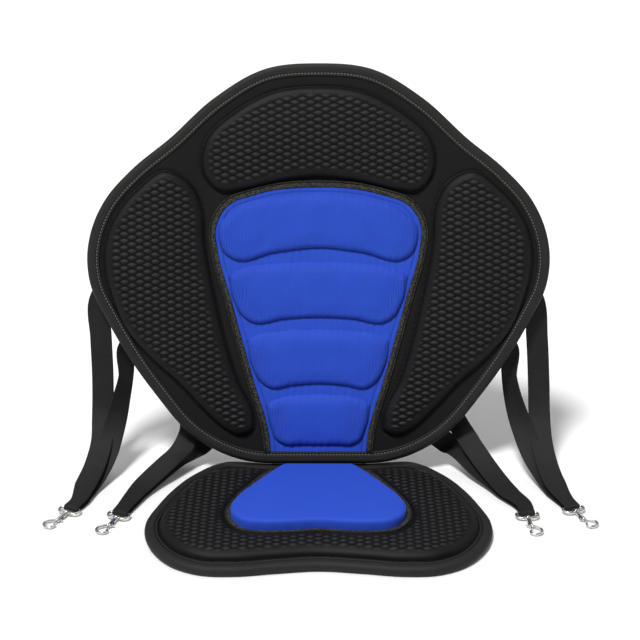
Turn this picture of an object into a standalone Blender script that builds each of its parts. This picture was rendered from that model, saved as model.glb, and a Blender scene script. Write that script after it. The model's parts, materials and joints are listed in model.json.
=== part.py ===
"""Padded kayak seat: a tall cupped backrest and a wide seat pad, joined by a sewn
cloth hinge, with four webbing straps that end in swivel bolt snaps.

Metres, +Z up.  The seat lies on the ground with its front towards -Y, the backrest
stands behind it and leans back, and +X is to the right of someone facing the seat.
The origin is on the ground, under the middle of the seat.
"""
import math

import bmesh
import bpy
import numpy as np
from mathutils import Matrix, Vector
from mathutils.geometry import delaunay_2d_cdt

# Clearance between pieces that touch
GAP = 0.0003

# Hinge line between the backrest and the seat
HINGE_Y = 0.115
HINGE_STRAIGHT = 0.120
HINGE_TAPE_LENGTH = 0.108
HINGE_TAPE_THICKNESS = 0.0009
HINGE_TAPE_FROM = math.radians(222)
HINGE_TAPE_TO = math.radians(285)

# Layers shared by both halves, seen in section
LAYER_THICKNESS = 0.0080
COVER_THICKNESS = 0.0013
CORE_THICKNESS = 0.0034
BINDING_TAPE = 0.0012
BINDING_REACH = 0.0090
EDGE_CLEAR = 0.0012

# Backrest
BACK_WIDTH = 0.513
BACK_HEIGHT = 0.4455
BACK_TILT = math.radians(16)
BACK_CUP = 0.014
PAD_RISE = 0.0080
PAD_SHOULDER = 0.0090
PAD_CROWN = 0.0020
PAD_CROWN_REACH = 0.040
PANEL_WIDTH = BACK_WIDTH * 0.4561
PANEL_HEIGHT = BACK_HEIGHT * 0.7015
PANEL_FOOT_WIDTH = PANEL_WIDTH * 0.470
CELL_RISE = 0.0085
CELL_SHOULDER = 0.0080
CELL_MARGIN = 0.0050
CELL_CORNER = PANEL_WIDTH * 0.0726
PANEL_TRIM_WIDTH = 0.0074
PANEL_TRIM_THICKNESS = 0.0016

# Seat
SEAT_WIDTH = 0.364
SEAT_DEPTH = 0.235
CUSHION_RISE = 0.0100
CUSHION_SHOULDER = 0.0130
CUSHION_CROWN = 0.0016
CUSHION_CROWN_REACH = 0.0120
CUSHION_RAMP = 0.0400
BASE_STEP = 0.0025
CENTER_PAD_WIDTH = SEAT_WIDTH * 0.522
CENTER_PAD_DEPTH = SEAT_DEPTH * 0.7468
CENTER_PAD_REAR_RISE = 0.0015
CENTER_PAD_FRONT_RISE = 0.0130
CENTER_PAD_EDGE = 0.0045
CENTER_PAD_REAR_SHARE = 0.85
CENTER_PAD_SETBACK = 0.0022
SEAT_TRIM_WIDTH = 0.0055
SEAT_TRIM_THICKNESS = 0.0016
SEAT_TRIM_CLEAR = 0.0015

# Webbing and its slide buckles
WEB_WIDTH = 0.0250
WEB_THICKNESS = 0.0013
WEB_AT_EYE = 0.0176
SEWN_LENGTH = 0.034
TAIL_LENGTH = 0.030
TAB_LENGTH = 0.028
EYE_LEAD = 0.012
BUCKLE_LEAD = 0.014
BUCKLE_BAR = 0.0024
BUCKLE_THICKNESS = 0.0024
BUCKLE_PITCH = 0.0080
BUCKLE_RIM = 0.0032

# Swivel bolt snap, measured from the middle of its swivel, with +X towards the ring
EYE_WIRE = 0.0030
EYE_INSIDE = 0.0215
EYE_CORNER = 0.0030
EYE_BAR_X = -0.0105
EYE_BOSS_RADIUS = 0.0031
EYE_BOSS_LENGTH = 0.0036
SWIVEL_RADIUS = 0.0012
SWIVEL_HEAD_RADIUS = 0.0024
SWIVEL_HEAD_LENGTH = 0.0014
BARREL_RADIUS = 0.0026
BARREL_LENGTH = 0.0170
BOLT_RADIUS = 0.0011
BOLT_LENGTH = 0.0140
BOLT_TRAVEL = 0.0050
KNOB_RADIUS = 0.0009
KNOB_REACH = 0.0050
KNOB_SETBACK = 0.0030
BOLT_REACH = 0.0062
LEAD_IN = 0.0006
HOOK_PATH = ((-0.0022, 0.0016), (0.0014, 0.0060), (0.0058, 0.0100), (0.0120, 0.0096),
             (0.0158, 0.0040), (0.0142, -0.0014), (0.0097, -0.0024), (0.0067, -0.0006))
HOOK_WIRE = 0.0030
HOOK_PITCH = math.radians(2.2)

# How finely outlines are divided
FINE_STEP = 0.0105
EDGE_STEP = 0.0165
SHEET_STEP = 0.0210
SHEET_GRID = 0.0560
SEAT_GRID = 0.0310
PAD_GRID = 0.0250
PAD_ROWS = 0.0100
DOT_CLEAR = 0.0120
PAD_DOT_CLEAR = 0.0180
WEB_STEP = 0.0190
WEB_STRAY = 0.00018
WIRE_STEP = 0.0042
HOOK_STEP = 0.0029

# Shapes as shares of their piece's half width and height, from the bottom middle up
BACK_SHAPE = ((0.370, 0.014), (0.535, 0.063), (0.725, 0.187), (0.922, 0.370), (0.986, 0.451),
              (1.0, 0.523), (0.976, 0.597), (0.920, 0.663), (0.805, 0.737), (0.640, 0.814),
              (0.448, 0.914), (0.224, 0.987), (0.0, 1.0))
PANEL_SHAPE = ((0.490, 0.096), (0.640, 0.294), (0.852, 0.589), (0.980, 0.768), (0.998, 0.850),
               (0.888, 0.929), (0.597, 0.974), (0.0, 1.0))
SEAT_SHAPE = ((0.460, -0.016), (0.580, -0.018), (0.665, 0.024), (0.728, 0.078), (0.790, 0.142),
              (0.876, 0.268), (0.952, 0.430), (1.0, 0.580), (0.992, 0.690), (0.934, 0.817),
              (0.824, 0.928), (0.670, 0.991), (0.494, 1.0), (0.247, 0.974), (0.0, 0.953))
CENTER_PAD_SHAPE = ((0.390, 0.0), (0.435, 0.020), (0.508, 0.093), (0.600, 0.190), (0.778, 0.386),
                    (0.868, 0.485), (0.955, 0.613), (1.0, 0.735), (0.970, 0.860), (0.830, 0.970),
                    (0.610, 1.0), (0.320, 0.992), (0.0, 0.972))

# Outlines of the moulded pads as shares of the backrest's half width and height
TOP_PAD_SHAPE = ((0.0, 0.727), (0.175, 0.716), (0.327, 0.696), (0.433, 0.690), (0.495, 0.722),
                 (0.513, 0.777), (0.487, 0.825), (0.370, 0.888), (0.195, 0.940), (0.0, 0.953))
SIDE_PAD_SHAPE = ((0.671, 0.742), (0.565, 0.710), (0.511, 0.640), (0.506, 0.575), (0.458, 0.415),
                  (0.361, 0.207), (0.290, 0.110), (0.296, 0.074), (0.351, 0.062), (0.421, 0.081),
                  (0.500, 0.122), (0.616, 0.194), (0.753, 0.268), (0.852, 0.338), (0.908, 0.415),
                  (0.936, 0.476), (0.943, 0.532), (0.926, 0.586), (0.872, 0.647), (0.797, 0.695))

# Each cell's top, bottom, and how far its corners drop below them, as shares of the panel's height
CELLS = ((0.970, 0.778, 0.0576, 0.0416), (0.725, 0.526, 0.0384, 0.0192),
         (0.477, 0.280, 0.0256, 0.0160), (0.237, 0.053, 0.0224, 0.0))

# Route of each left strap.  A place on the backrest's rear is across and up, tied to its size;
# a free point is X, Y and Z.  The right straps mirror them but for how they lie in the air.
UPPER_SEWN = (BACK_WIDTH * -0.382, BACK_HEIGHT * 0.5455)
UPPER_SEWN_HEADING = math.radians(224)
UPPER_BUCKLE = (BACK_WIDTH * -0.3353, BACK_HEIGHT * 0.3726)
UPPER_BUCKLE_HEADING = math.radians(218)
UPPER_DOWN = ((-0.2510, 0.1720, 0.1890), (-0.2500, 0.1640, 0.1500), (-0.2490, 0.1550, 0.0990),
              (-0.2495, 0.1400, 0.0570), (-0.2490, 0.1200, 0.0390), (-0.2545, 0.0930, 0.0210),
              (-0.2620, 0.0640, 0.0115))
UPPER_UP = ((-0.2630, 0.0580, 0.0035), (-0.2540, 0.0820, 0.0100), (-0.2430, 0.1080, 0.0260),
            (-0.2360, 0.1280, 0.0480), (-0.2280, 0.1460, 0.0780), (-0.2220, 0.1560, 0.1050),
            (-0.2210, 0.1640, 0.1390))
UPPER_UP_TURNS = (0, 0, 0, 15, 38, 52, 40)
UPPER_RIGHT_DOWN = ((-0.2470, 0.1720, 0.1890), (-0.2510, 0.1640, 0.1500), (-0.2545, 0.1550, 0.0960),
                    (-0.2554, 0.1400, 0.0575), (-0.2563, 0.1200, 0.0390), (-0.2607, 0.0930, 0.0210),
                    (-0.2670, 0.0640, 0.0115))
UPPER_RIGHT_UP = ((-0.2680, 0.0580, 0.0035), (-0.2585, 0.0820, 0.0100), (-0.2455, 0.1080, 0.0260),
                  (-0.2357, 0.1280, 0.0480), (-0.2252, 0.1460, 0.0780), (-0.2200, 0.1560, 0.1050),
                  (-0.2200, 0.1640, 0.1390))
LOWER_SEWN = (BACK_WIDTH * -0.2495, BACK_HEIGHT * 0.1975)
LOWER_SEWN_HEADING = math.radians(240)
LOWER_BUCKLE = (BACK_WIDTH * -0.1793, BACK_HEIGHT * 0.1347)
LOWER_BUCKLE_HEADING = math.radians(222)
LOWER_DOWN = ((-0.1500, 0.1390, 0.0370), (-0.1570, 0.1260, 0.0270), (-0.1720, 0.1040, 0.0200),
              (-0.1980, 0.0660, 0.0090))
LOWER_UP = ((-0.2000, 0.0640, 0.0035), (-0.1740, 0.1060, 0.0100), (-0.1560, 0.1300, 0.0140),
            (-0.1360, 0.1430, 0.0230))
LOWER_RIGHT_DOWN = ((-0.1600, 0.1500, 0.0490), (-0.1690, 0.1380, 0.0392), (-0.1776, 0.1220, 0.0305),
                    (-0.1957, 0.0880, 0.0155), (-0.2123, 0.0520, 0.0085))
LOWER_RIGHT_UP = ((-0.2110, 0.0560, 0.0040), (-0.1975, 0.0800, 0.0065), (-0.1826, 0.1000, 0.0115),
                  (-0.1690, 0.1200, 0.0180), (-0.1540, 0.1380, 0.0230))

# Where each snap's swivel lies on the ground, and which way the snap points
SNAPS = {
    "upper_left": (-0.2775, 0.0105, math.radians(245)),
    "upper_right": (0.2840, 0.0130, math.radians(-69)),
    "lower_left": (-0.2215, -0.0010, math.radians(251)),
    "lower_right": (0.2297, -0.0015, math.radians(-86)),
}

BINDING_HALF = LAYER_THICKNESS / 2 + GAP + BINDING_TAPE
HINGE_Z = 3 * BINDING_HALF + 2 * GAP + HINGE_TAPE_THICKNESS
BACK_HALF = BACK_WIDTH / 2
BACK_REAR = -LAYER_THICKNESS / 2
BACK_FLANGE = LAYER_THICKNESS / 2
SEAT_MIDDLE_Z = BINDING_HALF
COVER_BOTTOM = -LAYER_THICKNESS / 2 + COVER_THICKNESS + GAP + CORE_THICKNESS + GAP
CUSHION_START = BINDING_REACH + EDGE_CLEAR
CENTER_PAD_START = CUSHION_START + CENTER_PAD_SETBACK


# Placing points

def on_back(across, up, out):
    """World point on the cupped backrest; out is measured towards its front."""
    bend = BACK_CUP * (across / BACK_HALF) ** 2 * math.sin(min(max(up, 0.0) / BACK_HEIGHT, 1.0) * math.pi / 2)
    forward = out + bend
    return Vector((across,
                   HINGE_Y + up * math.sin(BACK_TILT) - forward * math.cos(BACK_TILT),
                   HINGE_Z + up * math.cos(BACK_TILT) + forward * math.sin(BACK_TILT)))


def on_seat(across, ahead, height):
    """World point on the seat; ahead is measured forward from the hinge line."""
    return Vector((across, HINGE_Y - ahead, SEAT_MIDDLE_Z + height))


# Outlines

def smooth(points, closed, per_span=10):
    """Curve through the points, with its tangents set by the chord lengths."""
    count = len(points)
    size = len(points[0])
    path = []
    spans = count if closed else count - 1

    def point(index):
        return Vector(points[index % count]) if closed else Vector(points[min(max(index, 0), count - 1)])

    def slope(index):
        before, here, after = point(index - 1), point(index), point(index + 1)
        length_in, length_out = (here - before).length, (after - here).length
        if length_in == 0:
            return (after - here) / length_out
        if length_out == 0:
            return (here - before) / length_in
        return ((here - before) / length_in * length_out
                + (after - here) / length_out * length_in) / (length_in + length_out)

    for span in range(spans):
        start, end = point(span), point(span + 1)
        length = (end - start).length
        for step in range(per_span):
            t = step / per_span
            path.append((2 * t ** 3 - 3 * t ** 2 + 1) * start + (t ** 3 - 2 * t ** 2 + t) * length * slope(span)
                        + (3 * t ** 2 - 2 * t ** 3) * end + (t ** 3 - t ** 2) * length * slope(span + 1))
    if not closed:
        path.append(point(count - 1))
    return [tuple(place[axis] for axis in range(size)) for place in path]


def resample(points, closed, step):
    """The same curve with evenly spaced points."""
    chain = np.array(points + [points[0]] if closed else points)
    along = np.concatenate(([0.0], np.cumsum(np.linalg.norm(np.diff(chain, axis=0), axis=1))))
    count = max(int(round(along[-1] / step)), 3)
    marks = np.linspace(0.0, along[-1], count + 1)
    if closed:
        marks = marks[:-1]
    return [tuple(row) for row in np.stack([np.interp(marks, along, chain[:, axis])
                                            for axis in range(chain.shape[1])], axis=1)]


def mirrored(half):
    """Closed list from a half that runs from the bottom middle to the top middle."""
    left = [(-across, up) for across, up in reversed(half) if across > 1e-9]
    return list(half) + left


def scaled(shape, half_width, height):
    return [(across * half_width, up * height) for across, up in shape]


def edge_outline(shape, width, height):
    """Outline of a half of the seat, with the straight stretch at the hinge."""
    straight = HINGE_STRAIGHT / 2
    half = [(0.0, 0.0), (straight * 0.87, 0.0), (straight, 0.0)] + scaled(shape, width / 2, height)
    return smooth(mirrored(half), True)


def headings(points, closed):
    """Unit direction at each point, halfway between the spans on its two sides."""
    points = np.array(points)
    after = np.roll(points, -1, axis=0) - points
    before = np.roll(after, 1, axis=0)
    if not closed:
        after[-1] = before[-1]
        before[0] = after[0]
    along = (after / np.linalg.norm(after, axis=1)[:, None]
             + before / np.linalg.norm(before, axis=1)[:, None])
    return along / np.linalg.norm(along, axis=1)[:, None]


def offset(loop, distance, closed=True):
    """The loop moved to its right-hand side, which is outwards on a counter-clockwise one."""
    points = np.array(loop)
    along = headings(points, closed)
    return [tuple(row) for row in points + distance * np.stack((along[:, 1], -along[:, 0]), axis=1)]


def depth_in(loop, points):
    """How far inside the loop each point lies; negative outside."""
    corners = np.array(loop)
    after = np.roll(corners, -1, axis=0)
    spots = np.array(points)[:, None, :]
    span = after - corners
    share = np.clip(((spots - corners) * span).sum(2) / (span ** 2).sum(1), 0.0, 1.0)
    nearest = corners + share[..., None] * span
    distance = np.linalg.norm(spots - nearest, axis=2).min(axis=1)
    crosses = ((corners[:, 1] > spots[..., 1]) != (after[:, 1] > spots[..., 1]))
    rise = np.where(span[:, 1] == 0, 1e-12, span[:, 1])
    inside = (crosses & (spots[..., 0] < corners[:, 0] + (spots[..., 1] - corners[:, 1]) * span[:, 0] / rise))
    return np.where(inside.sum(axis=1) % 2 == 1, distance, -distance)


def shoulder(depth, width, height):
    """Rounded shoulder of a moulded pad: nothing at its foot, full height past the width."""
    share = np.clip(depth / width, 0.0, 1.0)
    return height * np.sqrt(1.0 - (1.0 - share) ** 2)


# Building meshes

def finish(name, mesh, material):
    bmesh.ops.remove_doubles(mesh, verts=mesh.verts, dist=1e-6)
    bmesh.ops.recalc_face_normals(mesh, faces=mesh.faces)
    data = bpy.data.meshes.new(name)
    mesh.to_mesh(data)
    mesh.free()
    data.materials.append(material)
    data.shade_smooth()
    data.set_sharp_from_angle(angle=math.radians(40))
    piece = bpy.data.objects.new(name, data)
    bpy.context.scene.collection.objects.link(piece)
    return piece


def counter_clockwise(loop):
    area = sum(a[0] * b[1] - b[0] * a[1] for a, b in zip(loop, loop[1:] + loop[:1]))
    return list(loop) if area > 0 else list(reversed(loop))


def triangulate(outline, holes, rings, dots):
    """Triangles that fill the outline, follow every ring and use every dot.

    The outline and the holes run counter-clockwise.  The last result tells which spot
    stands for each of their points.
    """
    coords, edges = [], []
    for loop in [outline] + list(holes) + list(rings):
        start = len(coords)
        coords += [Vector(point) for point in loop]
        edges += [(start + k, start + (k + 1) % len(loop)) for k in range(len(loop))]
    coords += [Vector(dot) for dot in dots]
    spots, _, faces, sources, _, _ = delaunay_2d_cdt(coords, edges, [], 0, 1e-7)
    spot_of = {source: index for index, row in enumerate(sources) for source in row}
    walls = {(spot_of[a], spot_of[b]) for a, b in edges[:len(outline)]}
    walls |= {(spot_of[b], spot_of[a]) for a, b in edges[len(outline):len(outline) + sum(map(len, holes))]}
    beside = {}
    for index, face in enumerate(faces):
        for a, b in zip(face, face[1:] + face[:1]):
            beside[a, b] = index
    waiting = [beside[wall] for wall in walls if wall in beside]
    kept = set(waiting)
    while waiting:
        face = faces[waiting.pop()]
        for a, b in zip(face, face[1:] + face[:1]):
            neighbour = beside.get((b, a))
            if (a, b) not in walls and neighbour is not None and neighbour not in kept:
                kept.add(neighbour)
                waiting.append(neighbour)
    return [tuple(spot) for spot in spots], [faces[index] for index in sorted(kept)], spot_of


def grid(outline, step, clear):
    """Regular dots inside an outline, no nearer than clear to it."""
    corners = np.array(outline)
    low, high = corners.min(axis=0), corners.max(axis=0)
    counts = np.ceil((high - low) / step).astype(int)
    middle = (low + high) / 2
    dots = [(middle[0] + (i - counts[0] / 2) * step, middle[1] + (j - counts[1] / 2) * step)
            for i in range(counts[0] + 1) for j in range(counts[1] + 1)]
    depths = depth_in(outline, dots)
    return [dot for dot, depth in zip(dots, depths) if depth > clear]


def spread(dots, clear=0.0030):
    """The dots without those that crowd an earlier one."""
    kept = []
    for dot in dots:
        if all(math.hypot(dot[0] - x, dot[1] - y) > clear for x, y in kept):
            kept.append(dot)
    return kept


def plate(name, material, place, outline, top, bottom,
          holes=(), rings=(), dots=(), under_rings=(), under_dots=()):
    """Closed plate between two height functions, with walls round its outline and holes."""
    outline, holes = counter_clockwise(outline), [counter_clockwise(hole) for hole in holes]
    mesh = bmesh.new()
    sides = []
    for height, marks, inner in ((top, rings, dots), (bottom, under_rings, under_dots)):
        spots, faces, spot_of = triangulate(outline, holes, marks, inner)
        verts = [mesh.verts.new(place(x, y, level)) for (x, y), level in zip(spots, height(spots))]
        for face in faces:
            mesh.faces.new([verts[k] for k in face])
        sides.append([verts[spot_of[k]] for k in range(len(outline) + sum(len(hole) for hole in holes))])
    start = 0
    for loop in [outline] + list(holes):
        for k in range(len(loop)):
            here, after = start + k, start + (k + 1) % len(loop)
            mesh.faces.new((sides[0][here], sides[0][after], sides[1][after], sides[1][here]))
        start += len(loop)
    for vert in [vert for vert in mesh.verts if not vert.link_faces]:
        mesh.verts.remove(vert)
    return finish(name, mesh, material)


def flat(level):
    return lambda spots: [level] * len(spots)


def sweep(name, material, rings, closed=False):
    """Closed solid through a row of like sections, each a list of world points."""
    mesh = bmesh.new()
    rows = [[mesh.verts.new(point) for point in ring] for ring in rings]
    size = len(rows[0])
    for index in range(len(rows) if closed else len(rows) - 1):
        here, after = rows[index], rows[(index + 1) % len(rows)]
        for k in range(size):
            mesh.faces.new((here[k], here[(k + 1) % size], after[(k + 1) % size], after[k]))
    if not closed:
        mesh.faces.new(rows[0])
        mesh.faces.new(rows[-1])
    return finish(name, mesh, material)


def edge_rings(loop, section, place, closed=True):
    """Sections set across a loop: each section point is (outwards, height)."""
    sides = [offset(loop, outwards, closed) for outwards, _ in section]
    return [[place(*side[k], height) for side, (_, height) in zip(sides, section)] for k in range(len(loop))]


def turned(profile, sides):
    """Revolved surface about X, from (along, radius) pairs that start and end on the axis."""
    mesh = bmesh.new()
    previous = None
    for along, radius in profile:
        if radius == 0:
            row = [mesh.verts.new((along, 0, 0))]
        else:
            row = [mesh.verts.new((along, radius * math.cos(2 * math.pi * k / sides),
                                   radius * math.sin(2 * math.pi * k / sides))) for k in range(sides)]
        if previous:
            for k in range(sides):
                loop = [previous[k % len(previous)], previous[(k + 1) % len(previous)],
                        row[(k + 1) % len(row)], row[k % len(row)]]
                mesh.faces.new(list(dict.fromkeys(loop)))
        previous = row
    bmesh.ops.recalc_face_normals(mesh, faces=mesh.faces)
    return mesh


def wire(path, radius, sides, closed=False):
    """Round wire along a flat path in the XY plane; an open end is rounded off."""
    mesh = bmesh.new()
    rows = []
    for (x, y), (ahead_x, ahead_y) in zip(path, headings(path, closed)):
        rows.append([mesh.verts.new((x + ahead_y * radius * math.cos(turn), y - ahead_x * radius * math.cos(turn),
                                     radius * math.sin(turn)))
                     for turn in (2 * math.pi * (k + 0.5) / sides for k in range(sides))])
    for index in range(len(rows) if closed else len(rows) - 1):
        here, after = rows[index], rows[(index + 1) % len(rows)]
        for k in range(sides):
            mesh.faces.new((here[k], here[(k + 1) % sides], after[(k + 1) % sides], after[k]))
    if not closed:
        mesh.faces.new(rows[0])
        mesh.faces.new(rows[-1])
    bmesh.ops.recalc_face_normals(mesh, faces=mesh.faces)
    return mesh


def solid(mesh, turn=None):
    """Temporary object for a Boolean."""
    data = bpy.data.meshes.new("tool")
    if turn:
        mesh.transform(turn)
    mesh.to_mesh(data)
    mesh.free()
    piece = bpy.data.objects.new("tool", data)
    bpy.context.scene.collection.objects.link(piece)
    return piece


def combine(base, others):
    """Mesh of the base after each (operation, piece) in turn; the pieces are used up."""
    for operation, piece in others:
        cut = base.modifiers.new(operation, "BOOLEAN")
        cut.operation = operation
        cut.object = piece
    bpy.context.view_layer.update()
    result = bmesh.new()
    result.from_mesh(base.evaluated_get(bpy.context.evaluated_depsgraph_get()).to_mesh())
    for piece in [base] + [piece for _, piece in others]:
        data = piece.data
        bpy.data.objects.remove(piece)
        bpy.data.meshes.remove(data)
    bmesh.ops.remove_doubles(result, verts=result.verts, dist=1e-6)
    bmesh.ops.dissolve_degenerate(result, edges=result.edges, dist=1e-6)
    bmesh.ops.triangulate(result, faces=result.faces)
    return result


def surface(name, color, roughness, metallic=0.0):
    material = bpy.data.materials.new(name)
    material.use_nodes = True
    shader = material.node_tree.nodes["Principled BSDF"]
    shader.inputs["Base Color"].default_value = (*color, 1.0)
    shader.inputs["Roughness"].default_value = roughness
    shader.inputs["Metallic"].default_value = metallic
    material.diffuse_color = (*color, 1.0)
    return material


# Bindings and trims

def binding_section():
    """Folded tape round the edge of the layers: a round nose and two arms."""
    outer = BINDING_HALF
    inner = outer - BINDING_TAPE
    nose = [(outer * math.cos(turn), outer * math.sin(turn))
            for turn in (math.radians(angle) for angle in (-90, -45, 0, 45, 90))]
    return ([(-BINDING_REACH, -outer)] + nose + [(-BINDING_REACH, outer), (-BINDING_REACH, inner),
            (GAP, inner), (GAP, -inner), (-BINDING_REACH, -inner)])


def trim_section(width, thickness, base):
    """Sewn tape lying flat: base is its underside, with its top edges rounded."""
    half = width / 2
    return ((-half, base), (half, base), (half * 0.85, base + thickness * 0.75), (0.0, base + thickness),
            (-half * 0.85, base + thickness * 0.75))


# Backrest

def panel_half():
    """Right half of the panel's outline, from its foot to its top middle."""
    foot = PANEL_FOOT_WIDTH / 2
    points = [(foot, 0.0), (foot * 1.004, PANEL_HEIGHT * 0.03)]
    points += scaled(PANEL_SHAPE, PANEL_WIDTH / 2, PANEL_HEIGHT)
    return points


def panel_edge(step):
    """Open path of the panel's edge, from its right foot over the top to its left foot."""
    half = panel_half()
    return resample(smooth(half + [(-across, up) for across, up in reversed(half[:-1])], False), False, step)


def panel_side(up):
    """Half width of the panel at a height."""
    half = [point for point in smooth(panel_half(), False)]
    return float(np.interp(up, [point[1] for point in half], [point[0] for point in half]))


def cell_outline(shares):
    """Rounded cell with arched top and bottom edges, inside the panel's sides."""
    top, bottom, top_drop, bottom_drop = (share * PANEL_HEIGHT for share in shares)

    def side(up):
        return panel_side(up) - CELL_MARGIN

    upper, lower = top - top_drop, bottom - bottom_drop
    half = [(0.0, bottom), (side(lower) * 0.45, bottom - bottom_drop * 0.35),
            (side(lower) - CELL_CORNER * 0.95, lower),
            (side(lower) - CELL_CORNER * 0.2, lower + CELL_CORNER * 0.45),
            (side(lower + CELL_CORNER * 1.3), lower + CELL_CORNER * 1.3),
            (side(upper - CELL_CORNER * 1.1), upper - CELL_CORNER * 1.1),
            (side(upper) - CELL_CORNER * 0.35, upper - CELL_CORNER * 0.25),
            (side(upper) - CELL_CORNER * 1.1, upper + top_drop * 0.25),
            (side(upper) * 0.5, top - top_drop * 0.22), (0.0, top)]
    return resample(smooth(mirrored(half), True), True, FINE_STEP)


def pad_loops():
    """Outlines of the three moulded pads on the backrest."""
    top_pad = mirrored(scaled(TOP_PAD_SHAPE, BACK_HALF, BACK_HEIGHT))
    right_pad = scaled(SIDE_PAD_SHAPE, BACK_HALF, BACK_HEIGHT)
    left_pad = [(-across, up) for across, up in reversed(right_pad)]
    return [resample(smooth(pad, True), True, FINE_STEP) for pad in (top_pad, right_pad, left_pad)]


def pad_heights(loops, width, rise, crown, base):
    """Height function of a moulded sheet with raised pads."""
    def heights(spots):
        level = np.zeros(len(spots))
        for loop in loops:
            depth = depth_in(loop, spots)
            level = np.maximum(level, shoulder(depth, width, rise)
                               + crown * np.clip(depth / PAD_CROWN_REACH, 0.0, 1.0))
        return list(base + level)
    return heights


def make_backrest(black, binding_cloth, blue, trim_cloth, foam):
    edge = edge_outline(BACK_SHAPE, BACK_WIDTH, BACK_HEIGHT)
    sheet = offset(resample(edge, True, SHEET_STEP), -EDGE_CLEAR)
    dots = grid(sheet, SHEET_GRID, SHEET_GRID / 3)
    rear = BACK_REAR + COVER_THICKNESS
    plate("backrest_back_cover", black, on_back, sheet, flat(rear), flat(BACK_REAR),
          dots=dots, under_dots=dots)
    core = offset(sheet, -GAP)
    plate("backrest_core", foam, on_back, core, flat(rear + GAP + CORE_THICKNESS), flat(rear + GAP),
          dots=dots, under_dots=dots)

    opening = offset(panel_edge(FINE_STEP), GAP / 2, closed=False)
    opening = [(x, max(y, EDGE_CLEAR)) for x, y in opening]
    foot = opening[0][0]
    outer = [point for point in offset(resample(edge, True, FINE_STEP * 1.3), -EDGE_CLEAR)
             if not (point[1] < EDGE_CLEAR * 1.05 and abs(point[0]) < foot + FINE_STEP / 2)]
    start = min(range(len(outer)), key=lambda k: (outer[k][0] < 0, outer[k][1], outer[k][0]))
    outer = outer[start:] + outer[:start]
    outline = outer + list(reversed(opening))
    pads = [counter_clockwise(loop) for loop in pad_loops()]
    rings = [offset(loop, -inset) for loop in pads for inset in (0.0, PAD_SHOULDER * 0.25, PAD_SHOULDER)]
    inner = [dot for dot in dots if depth_in(outline, [dot])[0] > DOT_CLEAR
             and all(abs(depth_in(loop, [dot])[0]) > PAD_DOT_CLEAR for loop in pads)]
    front = pad_heights(pads, PAD_SHOULDER, PAD_RISE, PAD_CROWN, BACK_FLANGE)
    plate("backrest_front_cover", black, on_back, outline, front, flat(COVER_BOTTOM), rings=rings, dots=inner,
          under_dots=[dot for dot in dots if depth_in(outline, [dot])[0] > DOT_CLEAR])

    panel = [(x, max(y, EDGE_CLEAR)) for x, y in offset(panel_edge(FINE_STEP), -GAP / 2, closed=False)]
    cells = [counter_clockwise(cell_outline(cell)) for cell in CELLS]
    rings = [offset(loop, -inset) for loop in cells for inset in (0.0, CELL_SHOULDER * 0.25, CELL_SHOULDER)]
    raised = pad_heights(cells, CELL_SHOULDER, CELL_RISE, PAD_CROWN / 2, BACK_FLANGE)
    plate("back_center_panel", blue, on_back, panel, raised, flat(COVER_BOTTOM), rings=rings,
          under_dots=[dot for dot in dots if depth_in(panel, [dot])[0] > DOT_CLEAR])

    path = offset(panel_edge(EDGE_STEP * 0.8), PANEL_TRIM_WIDTH / 2 - GAP, closed=False)
    lift = BINDING_REACH + 2 * GAP
    path = [point for point in path if point[1] > lift + 0.004]
    path = [(path[0][0], lift)] + path + [(path[-1][0], lift)]
    section = trim_section(PANEL_TRIM_WIDTH, PANEL_TRIM_THICKNESS, BACK_FLANGE + 2 * GAP)
    sweep("center_panel_trim", trim_cloth, edge_rings(path, section, on_back, closed=False))
    sweep("backrest_edge_binding", binding_cloth,
          edge_rings(resample(edge, True, EDGE_STEP), binding_section(), on_back), closed=True)


# Seat

def center_pad_outline(step):
    half = [(0.0, 0.0)] + scaled(CENTER_PAD_SHAPE, CENTER_PAD_WIDTH / 2, CENTER_PAD_DEPTH - CENTER_PAD_START)
    loop = smooth(mirrored(half), True)
    return [(x, max(y, 0.0) + CENTER_PAD_START) for x, y in resample(loop, True, step)]


def rear_ramp(spots):
    """Share of the seat's full height: it thins out towards the hinge."""
    ahead = np.array([y for _, y in spots])
    return np.sin(np.clip((ahead - CUSHION_START) / CUSHION_RAMP, 0.0, 1.0) * math.pi / 2)


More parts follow.
